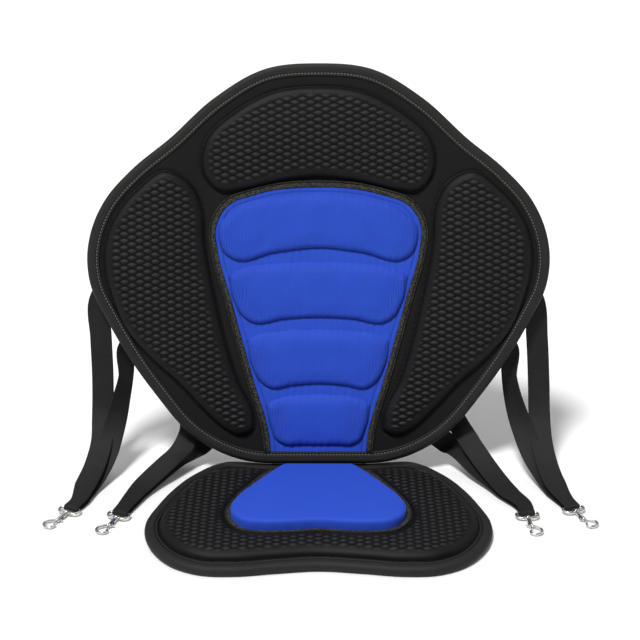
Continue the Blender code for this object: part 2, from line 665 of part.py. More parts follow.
def make_seat(black, binding_cloth, blue, trim_cloth, foam, base_cloth):
    edge = edge_outline(SEAT_SHAPE, SEAT_WIDTH, SEAT_DEPTH)
    sheet = offset(resample(edge, True, SHEET_STEP), -EDGE_CLEAR)
    bottom = -LAYER_THICKNESS / 2
    core_bottom = bottom + COVER_THICKNESS + GAP
    step_in = BINDING_REACH + EDGE_CLEAR
    folds = [offset(sheet, -step_in), offset(sheet, -step_in - BASE_STEP)]

    def base_heights(spots):
        share = np.clip((depth_in(sheet, spots) - step_in) / BASE_STEP, 0.0, 1.0)
        return list(bottom + share * (-SEAT_MIDDLE_Z - bottom))

    plate("seat_base_cover", base_cloth, on_seat, sheet, flat(bottom + COVER_THICKNESS), base_heights,
          under_rings=folds)
    plate("seat_core", foam, on_seat, offset(sheet, -GAP),
          flat(core_bottom + CORE_THICKNESS), flat(core_bottom))

    pad = center_pad_outline(FINE_STEP)
    hole = offset(pad, GAP)
    ledge = offset(pad, SEAT_TRIM_WIDTH + SEAT_TRIM_CLEAR)
    outline = offset(resample(edge, True, FINE_STEP * 1.3), -EDGE_CLEAR)
    start = CUSHION_START - EDGE_CLEAR

    def cushion_level(spots):
        depth = depth_in(outline, spots) - start
        level = np.minimum(shoulder(depth, CUSHION_SHOULDER, CUSHION_RISE), CUSHION_RISE * rear_ramp(spots))
        away = np.clip(-depth_in(ledge, spots) / CUSHION_CROWN_REACH, 0.0, 1.0)
        return level + CUSHION_CROWN * away * np.clip(depth / CUSHION_RAMP, 0.0, 1.0)

    rings = [offset(outline, -start - inset) for inset in (0.0, CUSHION_SHOULDER * 0.2, CUSHION_SHOULDER)]
    marks = [point for ring in rings for point in ring] + ledge + offset(ledge, CUSHION_CROWN_REACH)
    marks += grid(outline, SEAT_GRID, SEAT_GRID)
    inner = np.minimum(-depth_in(hole, marks) - EDGE_CLEAR, depth_in(outline, marks) - BINDING_REACH * 0.9)
    plate("seat_top_cover", black, on_seat, outline, lambda spots: list(BACK_FLANGE + cushion_level(spots)),
          flat(COVER_BOTTOM), holes=[hole], rings=rings[:1],
          dots=spread([mark for mark, room in zip(marks, inner) if room > 0]))

    def pad_top(spots):
        share = np.clip((np.array([y for _, y in spots]) - CENTER_PAD_START)
                        / (CENTER_PAD_DEPTH - CENTER_PAD_START), 0.0, 1.0)
        rise = CENTER_PAD_REAR_RISE + (CENTER_PAD_FRONT_RISE - CENTER_PAD_REAR_RISE) * share
        ramp = CENTER_PAD_REAR_SHARE + (1 - CENTER_PAD_REAR_SHARE) * rear_ramp(spots)
        full = (CUSHION_RISE + rise) * ramp
        depth = np.clip(depth_in(pad, spots) / CENTER_PAD_EDGE, 0.0, 1.0)
        edge_drop = CENTER_PAD_EDGE * 0.8 * (1 - np.sqrt(1 - (1 - depth) ** 2))
        return list(BACK_FLANGE + full - np.minimum(edge_drop, full * 0.5))

    insets = [offset(pad, -inset) for inset in (CENTER_PAD_EDGE * 0.3, CENTER_PAD_EDGE)]
    plate("seat_center_pad", blue, on_seat, pad, pad_top, flat(COVER_BOTTOM), rings=insets,
          dots=grid(pad, PAD_GRID, PAD_ROWS))

    def on_cushion(across, ahead, height):
        return on_seat(across, ahead, height + float(cushion_level([(across, ahead)])[0]))

    path = offset(center_pad_outline(EDGE_STEP * 0.7), SEAT_TRIM_WIDTH / 2 + 2 * GAP)
    path = [point for point in path[len(path) // 2:] + path[:len(path) // 2]]
    first = next(k for k in range(len(path)) if path[k][1] < CENTER_PAD_START)
    last = max(k for k in range(len(path)) if path[k][1] < CENTER_PAD_START)
    path = path[last + 1:] + path[:first]
    section = trim_section(SEAT_TRIM_WIDTH, SEAT_TRIM_THICKNESS, BACK_FLANGE + 2 * GAP)
    sweep("seat_pad_trim", trim_cloth, edge_rings(path, section, on_cushion, closed=False))
    sweep("seat_edge_binding", binding_cloth,
          edge_rings(resample(edge, True, EDGE_STEP), binding_section(), on_seat), closed=True)
    make_hinge_tape(binding_cloth)


def make_hinge_tape(cloth):
    """Cloth cradle that is sewn to the seat and lies round the backrest's lower edge."""
    inner = BINDING_HALF + GAP
    outer = HINGE_Z - 2 * BINDING_HALF - GAP
    turns = [HINGE_TAPE_FROM + (HINGE_TAPE_TO - HINGE_TAPE_FROM) * k / 6 for k in range(7)]
    arc = [(radius * math.cos(turn), radius * math.sin(turn)) for radius, row in
           ((inner, turns), (outer, list(reversed(turns)))) for turn in row]
    half = HINGE_TAPE_LENGTH / 2
    sweep("hinge_tape", cloth, [[Vector((side, HINGE_Y + y, HINGE_Z + z)) for y, z in arc]
                                for side in (-half, half)])


# Straps

def ribbon(name, material, stations, thickness=WEB_THICKNESS):
    """Webbing through (point, width direction, width) stations."""
    rings = []
    for (point, across, width), ahead in zip(stations, headings([point for point, _, _ in stations], False)):
        ahead = Vector(ahead)
        side = (across - ahead * across.dot(ahead)).normalized() * width / 2
        up = ahead.cross(side).normalized() * thickness / 2
        middle = Vector(point)
        rings.append([middle + side + up, middle - side + up, middle - side - up, middle + side - up])
    return sweep(name, material, rings)


def back_strip(anchor, heading, side, rows):
    """Stations on the backrest's rear: each row is (along, out from the rear cover)."""
    stations = []
    for along, out in rows:
        across, up = anchor[0] + math.cos(heading) * along, anchor[1] + math.sin(heading) * along
        stations.append((flip(on_back(across, up, BACK_REAR - out), side),
                         back_across(across, up, heading, side), WEB_WIDTH))
    return stations


def back_across(across, up, heading, side):
    """Width direction of webbing that runs along a heading at a place on the backrest's rear."""
    step = Vector((-math.sin(heading), math.cos(heading))) * WEB_WIDTH / 2
    edges = [on_back(across + sign * step.x, up + sign * step.y, BACK_REAR) for sign in (-1, 1)]
    return flip(edges[1] - edges[0], side).normalized()


def flip(point, side):
    return Vector((point[0] * side, point[1], point[2]))


def web_layer(count):
    """Distance from the rear cover to the middle of the given layer of webbing."""
    return GAP + WEB_THICKNESS / 2 + count * (WEB_THICKNESS + GAP)


BAR_LOOP = math.hypot(BUCKLE_BAR, BUCKLE_THICKNESS) / 2 + GAP + WEB_THICKNESS / 2
BUCKLE_OUT = web_layer(0) + BAR_LOOP
HALF_TURN = [math.radians(angle) for angle in (0, 45, 90, 135, 180)]


def round_bar(bar, toward):
    """Rows of webbing that turns round a buckle's bar, from its outer face to its inner one."""
    return [(bar + toward * BAR_LOOP * math.sin(turn), BUCKLE_OUT + BAR_LOOP * math.cos(turn))
            for turn in HALF_TURN]


def snap_matrix(name):
    """Placement of a snap: its X axis runs along the snap, tipped down to the ring."""
    x, y, heading = SNAPS[name]
    height = EYE_WIRE / 2 + 2 * GAP + WEB_THICKNESS
    return (Matrix.Translation((x, y, height)) @ Matrix.Rotation(heading, 4, "Z")
            @ Matrix.Rotation(HOOK_PITCH, 4, "Y"))


def free_strip(points, side, turns):
    """Stations in the air; a turn swings the webbing's width out of the X direction."""
    return [(flip(point, side), flip((math.cos(turn), math.sin(turn), 0.0), side), WEB_WIDTH)
            for point, turn in zip(points, [math.radians(angle) for angle in turns])]


def make_strap(name, webbing, side, sewn, sewn_heading, buckle, buckle_heading, down, up, up_turns):
    """One length of webbing: sewn to the rear, through the snap's eye and back to its buckle."""
    place = snap_matrix(name)
    bar_across = (place.to_3x3() @ Vector((0, 1, 0)))
    if bar_across.x * side < 0:
        bar_across = -bar_across
    loop = EYE_WIRE / 2 + GAP + WEB_THICKNESS / 2
    wrap = [(EYE_BAR_X - EYE_LEAD, loop * 1.1), (EYE_BAR_X - loop, loop)]
    wrap += [(EYE_BAR_X + loop * math.sin(turn), loop * math.cos(turn)) for turn in HALF_TURN]
    wrap += [(EYE_BAR_X - loop, -loop), (EYE_BAR_X - EYE_LEAD, -loop)]
    start = back_strip(sewn, sewn_heading, side, [(0.0, web_layer(0)), (SEWN_LENGTH * 0.5, web_layer(0)),
                                                  (SEWN_LENGTH, web_layer(1))])
    outer = BUCKLE_OUT + BAR_LOOP
    rows = [(BUCKLE_PITCH + BUCKLE_LEAD, outer), (BUCKLE_PITCH * 0.5, outer)] + round_bar(0.0, -1)
    rows += [(BUCKLE_PITCH * 0.5, web_layer(0)), (BUCKLE_PITCH * 2, web_layer(0)),
             (BUCKLE_PITCH + TAIL_LENGTH, web_layer(0))]
    end = back_strip(buckle, buckle_heading, side, rows)
    controls = start + free_strip(down, side, (0,) * len(down))
    controls += [(place @ Vector((x, 0, z)), bar_across, WEB_AT_EYE) for x, z in wrap]
    controls += free_strip(up, side, up_turns) + end
    rows = [tuple(point) + tuple(across) + (width,) for point, across, width in controls]
    spans = 8
    curve = smooth([row[:3] for row in rows], False, spans)
    others = [tuple(np.array(a[3:]) + (np.array(b[3:]) - np.array(a[3:])) * step / spans)
              for a, b in zip(rows, rows[1:]) for step in range(spans)] + [rows[-1][3:]]
    ribbon("strap_" + name, webbing, [(Vector(point), Vector(other[:3]), other[3])
                                      for point, other in thin_out(curve, others)])


def thin_out(curve, others):
    """Fewer stations where the webbing runs straight, more of them where it turns tightly."""
    kept = [0]
    for k in range(2, len(curve)):
        start, end = Vector(curve[kept[-1]]), Vector(curve[k])
        chord = end - start
        stray = max((Vector(curve[j]) - start).cross(chord).length / chord.length
                    for j in range(kept[-1] + 1, k))
        if chord.length > WEB_STEP or stray > WEB_STRAY:
            kept.append(k - 1)
    kept.append(len(curve) - 1)
    return [(curve[k], others[k]) for k in kept]


def make_tab(name, webbing, side, buckle, heading):
    """Short doubled webbing that holds the buckle's inner bar and is sewn to the rear."""
    bar = -BUCKLE_PITCH
    far = bar - TAB_LENGTH
    rows = [(far, web_layer(1)), (bar - TAB_LENGTH * 0.5, web_layer(1) + GAP)] + round_bar(bar, 1)
    rows += [(bar - TAB_LENGTH * 0.5, web_layer(0)), (far, web_layer(0))]
    ribbon("strap_tab_" + name, webbing, back_strip(buckle, heading, side, rows))


def make_buckle(name, plastic, side, buckle, heading):
    """Slide buckle with three bars, lying over the rear cover."""
    half_long = BUCKLE_PITCH + BUCKLE_BAR / 2
    half_wide = WEB_WIDTH / 2 + 2 * GAP + BUCKLE_RIM
    corner = BUCKLE_RIM * 0.5
    outline = [(sx * (half_long - cx), sy * (half_wide - cy)) for sx, sy, cx, cy in
               ((1, -1, corner, 0), (1, -1, 0, corner), (1, 1, 0, corner), (1, 1, corner, 0),
                (-1, 1, corner, 0), (-1, 1, 0, corner), (-1, -1, 0, corner), (-1, -1, corner, 0))]
    slot = (BUCKLE_PITCH - BUCKLE_BAR) / 2
    inside = half_wide - BUCKLE_RIM
    holes = [[(middle + sx * slot, sy * inside) for sx, sy in ((-1, -1), (-1, 1), (1, 1), (1, -1))]
             for middle in (-BUCKLE_PITCH / 2, BUCKLE_PITCH / 2)]
    ends = [back_strip(buckle, heading, side, [(along, BUCKLE_OUT)])[0] for along in (-half_long, half_long)]
    origin = (ends[0][0] + ends[1][0]) / 2
    ahead = (ends[1][0] - ends[0][0]).normalized()
    across = ends[0][1] + ends[1][1]
    across = (across - ahead * across.dot(ahead)).normalized()
    out = ahead.cross(across)

    def place(x, y, height):
        return origin + ahead * x + across * y + out * height

    plate("slide_buckle_" + name, plastic, place, outline, flat(BUCKLE_THICKNESS / 2),
          flat(-BUCKLE_THICKNESS / 2), holes=holes)


# Swivel bolt snap

def eye_mesh():
    """Wide wire eye with a bored boss for the swivel."""
    half = (EYE_INSIDE + EYE_WIRE) / 2
    back, corner = EYE_BAR_X, EYE_CORNER
    half_path = [(back, 0.0), (back, half - corner), (back + corner * 0.3, half - corner * 0.3),
                 (back + corner, half), (-corner * 1.4, half - corner * 0.2),
                 (-corner * 0.4, half - corner * 0.7),
                 (0.0, half - corner * 1.6), (0.0, 0.0)]
    path = half_path + [(x, -y) for x, y in reversed(half_path[1:-1])]
    ring = solid(wire(resample(smooth(path, True, 8), True, WIRE_STEP), EYE_WIRE / 2, 6, closed=True))
    half_boss = EYE_BOSS_LENGTH / 2
    boss = solid(turned([(-half_boss, 0), (-half_boss, EYE_BOSS_RADIUS), (half_boss, EYE_BOSS_RADIUS),
                         (half_boss, 0)], 10))
    bore = solid(turned([(-EYE_BOSS_LENGTH, 0), (-EYE_BOSS_LENGTH, SWIVEL_RADIUS + GAP),
                         (EYE_BOSS_LENGTH, SWIVEL_RADIUS + GAP), (EYE_BOSS_LENGTH, 0)], 10))
    return combine(ring, [("UNION", boss), ("DIFFERENCE", bore)])


BARREL_START = EYE_BOSS_LENGTH / 2 + GAP
BARREL_END = BARREL_START + BARREL_LENGTH
BOLT_TIP = BARREL_END + BOLT_REACH
KNOB_X = BARREL_END - KNOB_SETBACK


def hook_mesh():
    """Swivel stem, slotted barrel and ring, cast as one piece."""
    head_end = -EYE_BOSS_LENGTH / 2 - GAP
    stem = solid(turned([(head_end - SWIVEL_HEAD_LENGTH, 0),
                         (head_end - SWIVEL_HEAD_LENGTH, SWIVEL_HEAD_RADIUS * 0.7),
                         (head_end - SWIVEL_HEAD_LENGTH * 0.4, SWIVEL_HEAD_RADIUS),
                         (head_end, SWIVEL_HEAD_RADIUS),
                         (head_end, SWIVEL_RADIUS), (BARREL_START, SWIVEL_RADIUS),
                         (BARREL_START, BARREL_RADIUS * 0.8), (BARREL_START + 2 * LEAD_IN, BARREL_RADIUS),
                         (BARREL_END - LEAD_IN, BARREL_RADIUS), (BARREL_END, BARREL_RADIUS * 0.85),
                         (BARREL_END, 0)], 10))
    path = smooth([(BARREL_END + x, y) for x, y in HOOK_PATH], False, 4)
    ring = solid(wire(resample(path, False, HOOK_STEP), HOOK_WIRE / 2, 6))
    bore_radius = BOLT_RADIUS + GAP
    bore_start = BOLT_TIP - BOLT_LENGTH - BOLT_TRAVEL - GAP
    bore_end = BARREL_END + BARREL_RADIUS
    bore = solid(turned([(bore_start, 0), (bore_start, bore_radius),
                         (bore_end, bore_radius), (bore_end, 0)], 8))
    slot_from = KNOB_X - BOLT_TRAVEL - KNOB_RADIUS - GAP
    slot_to = KNOB_X + KNOB_RADIUS + GAP
    slot = bmesh.new()
    bmesh.ops.create_cube(slot, size=1.0)
    slot.transform(Matrix.Translation(((slot_from + slot_to) / 2, -KNOB_REACH / 2, 0))
                   @ Matrix.Diagonal((slot_to - slot_from, KNOB_REACH, 2 * (KNOB_RADIUS + GAP), 1)))
    return combine(stem, [("UNION", ring), ("DIFFERENCE", bore), ("DIFFERENCE", solid(slot))])


def bolt_mesh():
    """Spring bolt with the knob that draws it back."""
    tail = BOLT_TIP - BOLT_LENGTH
    pin = solid(turned([(tail, 0), (tail, BOLT_RADIUS), (BOLT_TIP - LEAD_IN, BOLT_RADIUS),
                        (BOLT_TIP, BOLT_RADIUS * 0.6), (BOLT_TIP, 0)], 8))
    to_side = Matrix.Translation((KNOB_X, 0, 0)) @ Matrix.Rotation(math.radians(-90), 4, "Z")
    knob = solid(turned([(0, 0), (0, KNOB_RADIUS), (KNOB_REACH - LEAD_IN, KNOB_RADIUS),
                         (KNOB_REACH, KNOB_RADIUS * 0.6), (KNOB_REACH, 0)], 8), to_side)
    return combine(pin, [("UNION", knob)])


def make_snaps(nickel):
    meshes = {"swivel_eye_": eye_mesh(), "hook_body_": hook_mesh(), "hook_bolt_": bolt_mesh()}
    for prefix, source in meshes.items():
        for name in SNAPS:
            copy = source.copy()
            mirror = Matrix.Diagonal((1, -1 if name.endswith("left") else 1, 1, 1))
            copy.transform(snap_matrix(name) @ mirror)
            finish(prefix + name, copy, nickel)
        source.free()


def make_straps(webbing, plastic):
    upper = (UPPER_SEWN, UPPER_SEWN_HEADING, UPPER_BUCKLE, UPPER_BUCKLE_HEADING)
    lower = (LOWER_SEWN, LOWER_SEWN_HEADING, LOWER_BUCKLE, LOWER_BUCKLE_HEADING)
    routes = {
        "upper_left": upper + (UPPER_DOWN, UPPER_UP, UPPER_UP_TURNS),
        "upper_right": upper + (UPPER_RIGHT_DOWN, UPPER_RIGHT_UP, UPPER_UP_TURNS),
        "lower_left": lower + (LOWER_DOWN, LOWER_UP, (0,) * len(LOWER_UP)),
        "lower_right": lower + (LOWER_RIGHT_DOWN, LOWER_RIGHT_UP, (0,) * len(LOWER_RIGHT_UP)),
    }
    for name in SNAPS:
        side = 1 if name.endswith("left") else -1
        sewn, sewn_heading, buckle, heading, down, up, up_turns = routes[name]
        make_strap(name, webbing, side, sewn, sewn_heading, buckle, heading, down, up, up_turns)
        make_tab(name, webbing, side, buckle, heading)
        make_buckle(name, plastic, side, buckle, heading)


def main():
    for piece in list(bpy.data.objects):
        bpy.data.objects.remove(piece)
    black = surface("moulded_black_fabric", (0.018, 0.018, 0.020), 0.85)
    base_cloth = surface("base_fabric", (0.014, 0.014, 0.015), 0.9)
    binding_cloth = surface("binding_tape", (0.012, 0.012, 0.013), 0.75)
    blue = surface("blue_fabric", (0.027, 0.085, 0.55), 0.8)
    trim_cloth = surface("stitched_trim", (0.040, 0.038, 0.028), 0.8)
    foam = surface("foam", (0.03, 0.03, 0.03), 0.95)
    webbing = surface("webbing", (0.012, 0.012, 0.013), 0.7)
    plastic = surface("buckle_plastic", (0.010, 0.010, 0.010), 0.4)
    nickel = surface("nickel", (0.66, 0.63, 0.58), 0.22, 1.0)
    make_backrest(black, binding_cloth, blue, trim_cloth, foam)
    make_seat(black, binding_cloth, blue, trim_cloth, foam, base_cloth)
    make_straps(webbing, plastic)
    make_snaps(nickel)


main()
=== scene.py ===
"""Looks of the padded kayak seat: moulded cloth, quilted panel, bindings, webbing and snaps."""
import json
import math

import bpy
import numpy as np
from bpy.props import FloatProperty, FloatVectorProperty, PointerProperty
from mathutils import Matrix, Vector, noise


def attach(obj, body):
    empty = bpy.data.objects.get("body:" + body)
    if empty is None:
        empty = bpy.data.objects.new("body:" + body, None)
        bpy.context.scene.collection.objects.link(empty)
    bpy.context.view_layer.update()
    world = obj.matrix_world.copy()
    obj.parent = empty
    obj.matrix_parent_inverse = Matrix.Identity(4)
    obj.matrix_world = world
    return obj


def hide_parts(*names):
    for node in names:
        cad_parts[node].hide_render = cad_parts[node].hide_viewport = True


bl_info = {
    "name": "Kayak Seat",
    "version": (1, 0, 0),
    "blender": (4, 5, 0),
    "location": "3D View > Sidebar > Kayak Seat",
    "description": "Dresses a folding kayak seat in moulded cloth, webbing and nickel-plated snaps",
    "category": "Add Mesh",
}

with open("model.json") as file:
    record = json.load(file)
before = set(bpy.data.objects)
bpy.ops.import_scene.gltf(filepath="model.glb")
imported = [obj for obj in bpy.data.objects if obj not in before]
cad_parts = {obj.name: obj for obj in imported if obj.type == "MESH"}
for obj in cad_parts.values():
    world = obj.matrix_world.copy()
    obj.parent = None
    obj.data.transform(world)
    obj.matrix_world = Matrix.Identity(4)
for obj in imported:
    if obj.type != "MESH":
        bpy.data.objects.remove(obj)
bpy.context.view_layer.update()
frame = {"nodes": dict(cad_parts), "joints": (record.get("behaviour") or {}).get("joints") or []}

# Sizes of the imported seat, in metres, that the cloth is fitted to
GAP = 0.0003
HINGE_Y, HINGE_Z = frame["joints"][0]["pos_m"][1:]
HINGE_STRAIGHT = 0.120
CRADLE_HALF = 0.054
LAYER = 0.0080
BINDING_HALF = LAYER / 2 + GAP + 0.0012
BINDING_REACH = 0.0090
BACK_WIDTH, BACK_HEIGHT = 0.513, 0.4455
BACK_HALF = BACK_WIDTH / 2
BACK_TILT = math.radians(16)
BACK_CUP = 0.014
PANEL_WIDTH, PANEL_HEIGHT, PANEL_FOOT = 0.234, 0.3125, 0.110
CELL_MARGIN, CELL_CORNER = 0.0050, 0.0130
SEAT_WIDTH, SEAT_DEPTH = 0.364, 0.235
CUSHION_START, CUSHION_RAMP = BINDING_REACH + 0.0012, 0.0400
PAD_WIDTH, PAD_DEPTH, PAD_START = 0.190, 0.1755, CUSHION_START + 0.0022
PAD_REAR_SHARE = 0.85
WEB_WIDTH, WEB_THICKNESS, WEB_AT_EYE = 0.0250, 0.0013, 0.0176
SEWN_LENGTH, TAIL_LENGTH, TAB_LENGTH = 0.034, 0.030, 0.028
BUCKLE_BAR, BUCKLE_THICKNESS, BUCKLE_PITCH = 0.0024, 0.0024, 0.0080
EYE_WIRE, EYE_INSIDE, EYE_CORNER, EYE_BAR_X = 0.0030, 0.0215, 0.0030, -0.0105
BARREL_START, BARREL_END = 0.0021, 0.0191
BOLT_TIP = BARREL_END + 0.0062
KNOB_X, KNOB_LENGTH, CAP_Y, CAP_HALF = BARREL_END - 0.0030, 0.0050, 0.0044, 0.0014
BOLT_TRAVEL = 0.0050
HOOK_PITCH = math.radians(2.2)

# Where cloths stop, how finely they are laid, and how they are sewn
EDGE_STEP = 0.006
CLOTH_EDGE, OPENING_EDGE, PAD_EDGE = 0.0025, 0.0004, 0.0002
PLAIN_CELL = 0.004
BUMP_CELLS = 10
STITCH_SHARE, STITCH_SUNK = 0.64, 0.0008
PANEL_TAPE, PAD_TAPE = (0.0080, 0.0021), (0.0058, 0.0018)
WAVE_RISE, WAVE_SPREAD = 0.0004, 0.05
FOLD_DEPTH, GROOVE_DEPTH, FOOT_DEPTH, CREASE_DEPTH = 0.0011, 0.0010, 0.0006, 0.0006
PUCKER_RISE, PUCKER_PITCH = 0.00022, 0.0085
FOLD_SHADE = 0.9

# The simulation that fills the pads with air
SIM_FRAMES, SIM_QUALITY, SIM_STIFFNESS = 20, 6, 0.4

# Castings of the snaps
EYE_VOXEL, HOOK_VOXEL, BOLT_VOXEL = 0.0003, 0.0003, 0.00022
RING_RADIUS, KNOB_RADIUS, CAP_RADIUS = 0.00155, 0.00095, 0.0007
SLOT_SIZE, SLOT_DEEP = (0.0074, 0.006, 0.0024), 0.003

# The stage, with the camera where the photograph was taken from
WORLD_STRENGTH = 0.25
SUN_POWER, SUN_ANGLE, SUN_WAY = 3.1, math.radians(12), (0.25, 0.42, -1.0)
SOFT_BOXES = (((-1.8, -0.6, 1.4), 5.0, 1.2), ((1.8, 0.4, 1.6), 5.0, 1.2), ((0.0, 1.5, 2.2), 14.0, 1.4))
SOFT_BOX_AIM = (0.0, 0.0, 0.2)
CAMERA_PLACE, CAMERA_AIM = (0.0, -1.7617, 0.9483), (0.0, 0.0, 0.2365)
LENS_SHARE, CAMERA_SHIFT = 1814.0 / 640.0, 1.5 / 640.0

BACK_SHAPE = ((0.370, 0.014), (0.535, 0.063), (0.725, 0.187), (0.922, 0.370), (0.986, 0.451),
              (1.0, 0.523), (0.976, 0.597), (0.920, 0.663), (0.805, 0.737), (0.640, 0.814),
              (0.448, 0.914), (0.224, 0.987), (0.0, 1.0))
PANEL_SHAPE = ((0.490, 0.096), (0.640, 0.294), (0.852, 0.589), (0.980, 0.768), (0.998, 0.850),
               (0.888, 0.929), (0.597, 0.974), (0.0, 1.0))
SEAT_SHAPE = ((0.460, -0.016), (0.580, -0.018), (0.665, 0.024), (0.728, 0.078), (0.790, 0.142),
              (0.876, 0.268), (0.952, 0.430), (1.0, 0.580), (0.992, 0.690), (0.934, 0.817),
              (0.824, 0.928), (0.670, 0.991), (0.494, 1.0), (0.247, 0.974), (0.0, 0.953))
PAD_SHAPE = ((0.390, 0.0), (0.435, 0.020), (0.508, 0.093), (0.600, 0.190), (0.778, 0.386),
             (0.868, 0.485), (0.955, 0.613), (1.0, 0.735), (0.970, 0.860), (0.830, 0.970),
             (0.610, 1.0), (0.320, 0.992), (0.0, 0.972))
TOP_PAD = ((0.0, 0.727), (0.175, 0.716), (0.327, 0.696), (0.433, 0.690), (0.495, 0.722),
           (0.513, 0.777), (0.487, 0.825), (0.370, 0.888), (0.195, 0.940), (0.0, 0.953))
SIDE_PAD = ((0.671, 0.742), (0.565, 0.710), (0.511, 0.640), (0.506, 0.575), (0.458, 0.415),
            (0.361, 0.207), (0.290, 0.110), (0.296, 0.074), (0.351, 0.062), (0.421, 0.081),
            (0.500, 0.122), (0.616, 0.194), (0.753, 0.268), (0.852, 0.338), (0.908, 0.415),
            (0.936, 0.476), (0.943, 0.532), (0.926, 0.586), (0.872, 0.647), (0.797, 0.695))
CELLS = ((0.970, 0.778, 0.0576, 0.0416), (0.725, 0.526, 0.0384, 0.0192),
         (0.477, 0.280, 0.0256, 0.0160), (0.237, 0.053, 0.0224, 0.0))
HOOK_PATH = ((-0.0022, 0.0016), (0.0014, 0.0060), (0.0058, 0.0100), (0.0120, 0.0096),
             (0.0158, 0.0040), (0.0142, -0.0014), (0.0097, -0.0024), (0.0067, -0.0006))

# Routes of the straps, all written for the left side: sewn end and buckle are across, up and a heading
UPPER_ENDS = {"sewn": (-0.196, 0.243, 224), "buckle": (-0.172, 0.166, 218),
              "turns": (0, 0, 0, 15, 38, 52, 40)}
LOWER_ENDS = {"sewn": (-0.128, 0.088, 240), "buckle": (-0.092, 0.060, 222), "turns": (0, 0, 0, 0, 0)}
ROUTES = {
    "upper_left": {
        "down": ((-0.2510, 0.1720, 0.1890), (-0.2500, 0.1640, 0.1500), (-0.2490, 0.1550, 0.0990),
                 (-0.2495, 0.1400, 0.0570), (-0.2490, 0.1200, 0.0390), (-0.2545, 0.0930, 0.0210),
                 (-0.2620, 0.0640, 0.0115)),
        "up": ((-0.2630, 0.0580, 0.0035), (-0.2540, 0.0820, 0.0100), (-0.2430, 0.1080, 0.0260),
               (-0.2360, 0.1280, 0.0480), (-0.2280, 0.1460, 0.0780), (-0.2220, 0.1560, 0.1050),
               (-0.2210, 0.1640, 0.1390))},
    "upper_right": {
        "down": ((-0.2470, 0.1720, 0.1890), (-0.2510, 0.1640, 0.1500), (-0.2545, 0.1550, 0.0960),
                 (-0.2554, 0.1400, 0.0575), (-0.2563, 0.1200, 0.0390), (-0.2607, 0.0930, 0.0210),
                 (-0.2670, 0.0640, 0.0115)),
        "up": ((-0.2680, 0.0580, 0.0035), (-0.2585, 0.0820, 0.0100), (-0.2455, 0.1080, 0.0260),
               (-0.2357, 0.1280, 0.0480), (-0.2252, 0.1460, 0.0780), (-0.2200, 0.1560, 0.1050),
               (-0.2200, 0.1640, 0.1390))},
    "lower_left": {
        "down": ((-0.1500, 0.1390, 0.0370), (-0.1570, 0.1260, 0.0270), (-0.1720, 0.1040, 0.0200),
                 (-0.1980, 0.0660, 0.0090)),
        "up": ((-0.2000, 0.0640, 0.0035), (-0.1740, 0.1060, 0.0100), (-0.1560, 0.1300, 0.0140),
               (-0.1360, 0.1430, 0.0230))},
    "lower_right": {
        "down": ((-0.1600, 0.1500, 0.0490), (-0.1690, 0.1380, 0.0392), (-0.1776, 0.1220, 0.0305),
                 (-0.1957, 0.0880, 0.0155), (-0.2123, 0.0520, 0.0085)),
        "up": ((-0.2110, 0.0560, 0.0040), (-0.1975, 0.0800, 0.0065), (-0.1826, 0.1000, 0.0115),
               (-0.1690, 0.1200, 0.0180), (-0.1540, 0.1380, 0.0230))},
}
SNAPS = {
    "upper_left": (-0.2775, 0.0105, 245),
    "upper_right": (0.2840, 0.0130, -69),
    "lower_left": (-0.2215, -0.0010, 251),
    "lower_right": (0.2297, -0.0015, -86),
}


# Placing points; each takes arrays and gives an array of X, Y, Z

def on_back(across, up, out):
    across, up, out = np.broadcast_arrays(across, up, out)
    rise = np.clip(up / BACK_HEIGHT, 0.0, 1.0) * math.pi / 2
    forward = out + BACK_CUP * (across / BACK_HALF) ** 2 * np.sin(rise)
    return np.stack((across, HINGE_Y + up * math.sin(BACK_TILT) - forward * math.cos(BACK_TILT),
                     HINGE_Z + up * math.cos(BACK_TILT) + forward * math.sin(BACK_TILT)), axis=-1)


def on_seat(across, ahead, height):
    across, ahead, height = np.broadcast_arrays(across, ahead, height)
    return np.stack((across, HINGE_Y - ahead, BINDING_HALF + height), axis=-1)


# Outlines

def lengths(points):
    """Length of the path up to each of its points."""
    return np.concatenate(([0.0], np.cumsum(np.linalg.norm(np.diff(points, axis=0), axis=1))))


def read_at(marks, along, rows):
    """The rows' values at each mark, between the places given by along."""
    return np.stack([np.interp(marks, along, column) for column in np.array(rows, float).T], axis=1)


def unit(vectors):
    return vectors / np.maximum(np.linalg.norm(vectors, axis=1), 1e-12)[:, None]


def smooth(points, closed, per_span=8):
    """Curve through the points, with its tangents set by the chord lengths."""
    points = np.array(points, float)
    count = len(points)
    if closed:
        chain = np.concatenate((points[-1:], points, points[:2]))
    else:
        chain = np.concatenate((points[:1], points, points[-1:]))
    spans = np.diff(chain, axis=0)
    length = np.maximum(np.linalg.norm(spans, axis=1), 1e-12)[:, None]
    slope = (spans[:-1] / length[:-1] * length[1:] + spans[1:] / length[1:] * length[:-1])
    slope = slope / (length[:-1] + length[1:])
    if not closed:
        slope[0] = spans[1] / length[1]
        slope[-1] = spans[-2] / length[-2]
    t = np.linspace(0.0, 1.0, per_span, endpoint=False)[:, None]
    path = []
    for k in range(count if closed else count - 1):
        here, after, long = chain[k + 1], chain[k + 2], length[k + 1]
        arrive = slope[(k + 1) % len(slope)]
        path.append((2 * t ** 3 - 3 * t ** 2 + 1) * here + (t ** 3 - 2 * t ** 2 + t) * long * slope[k]
                    + (3 * t ** 2 - 2 * t ** 3) * after + (t ** 3 - t ** 2) * long * arrive)
    if not closed:
        path.append(points[-1:])
    return np.concatenate(path)


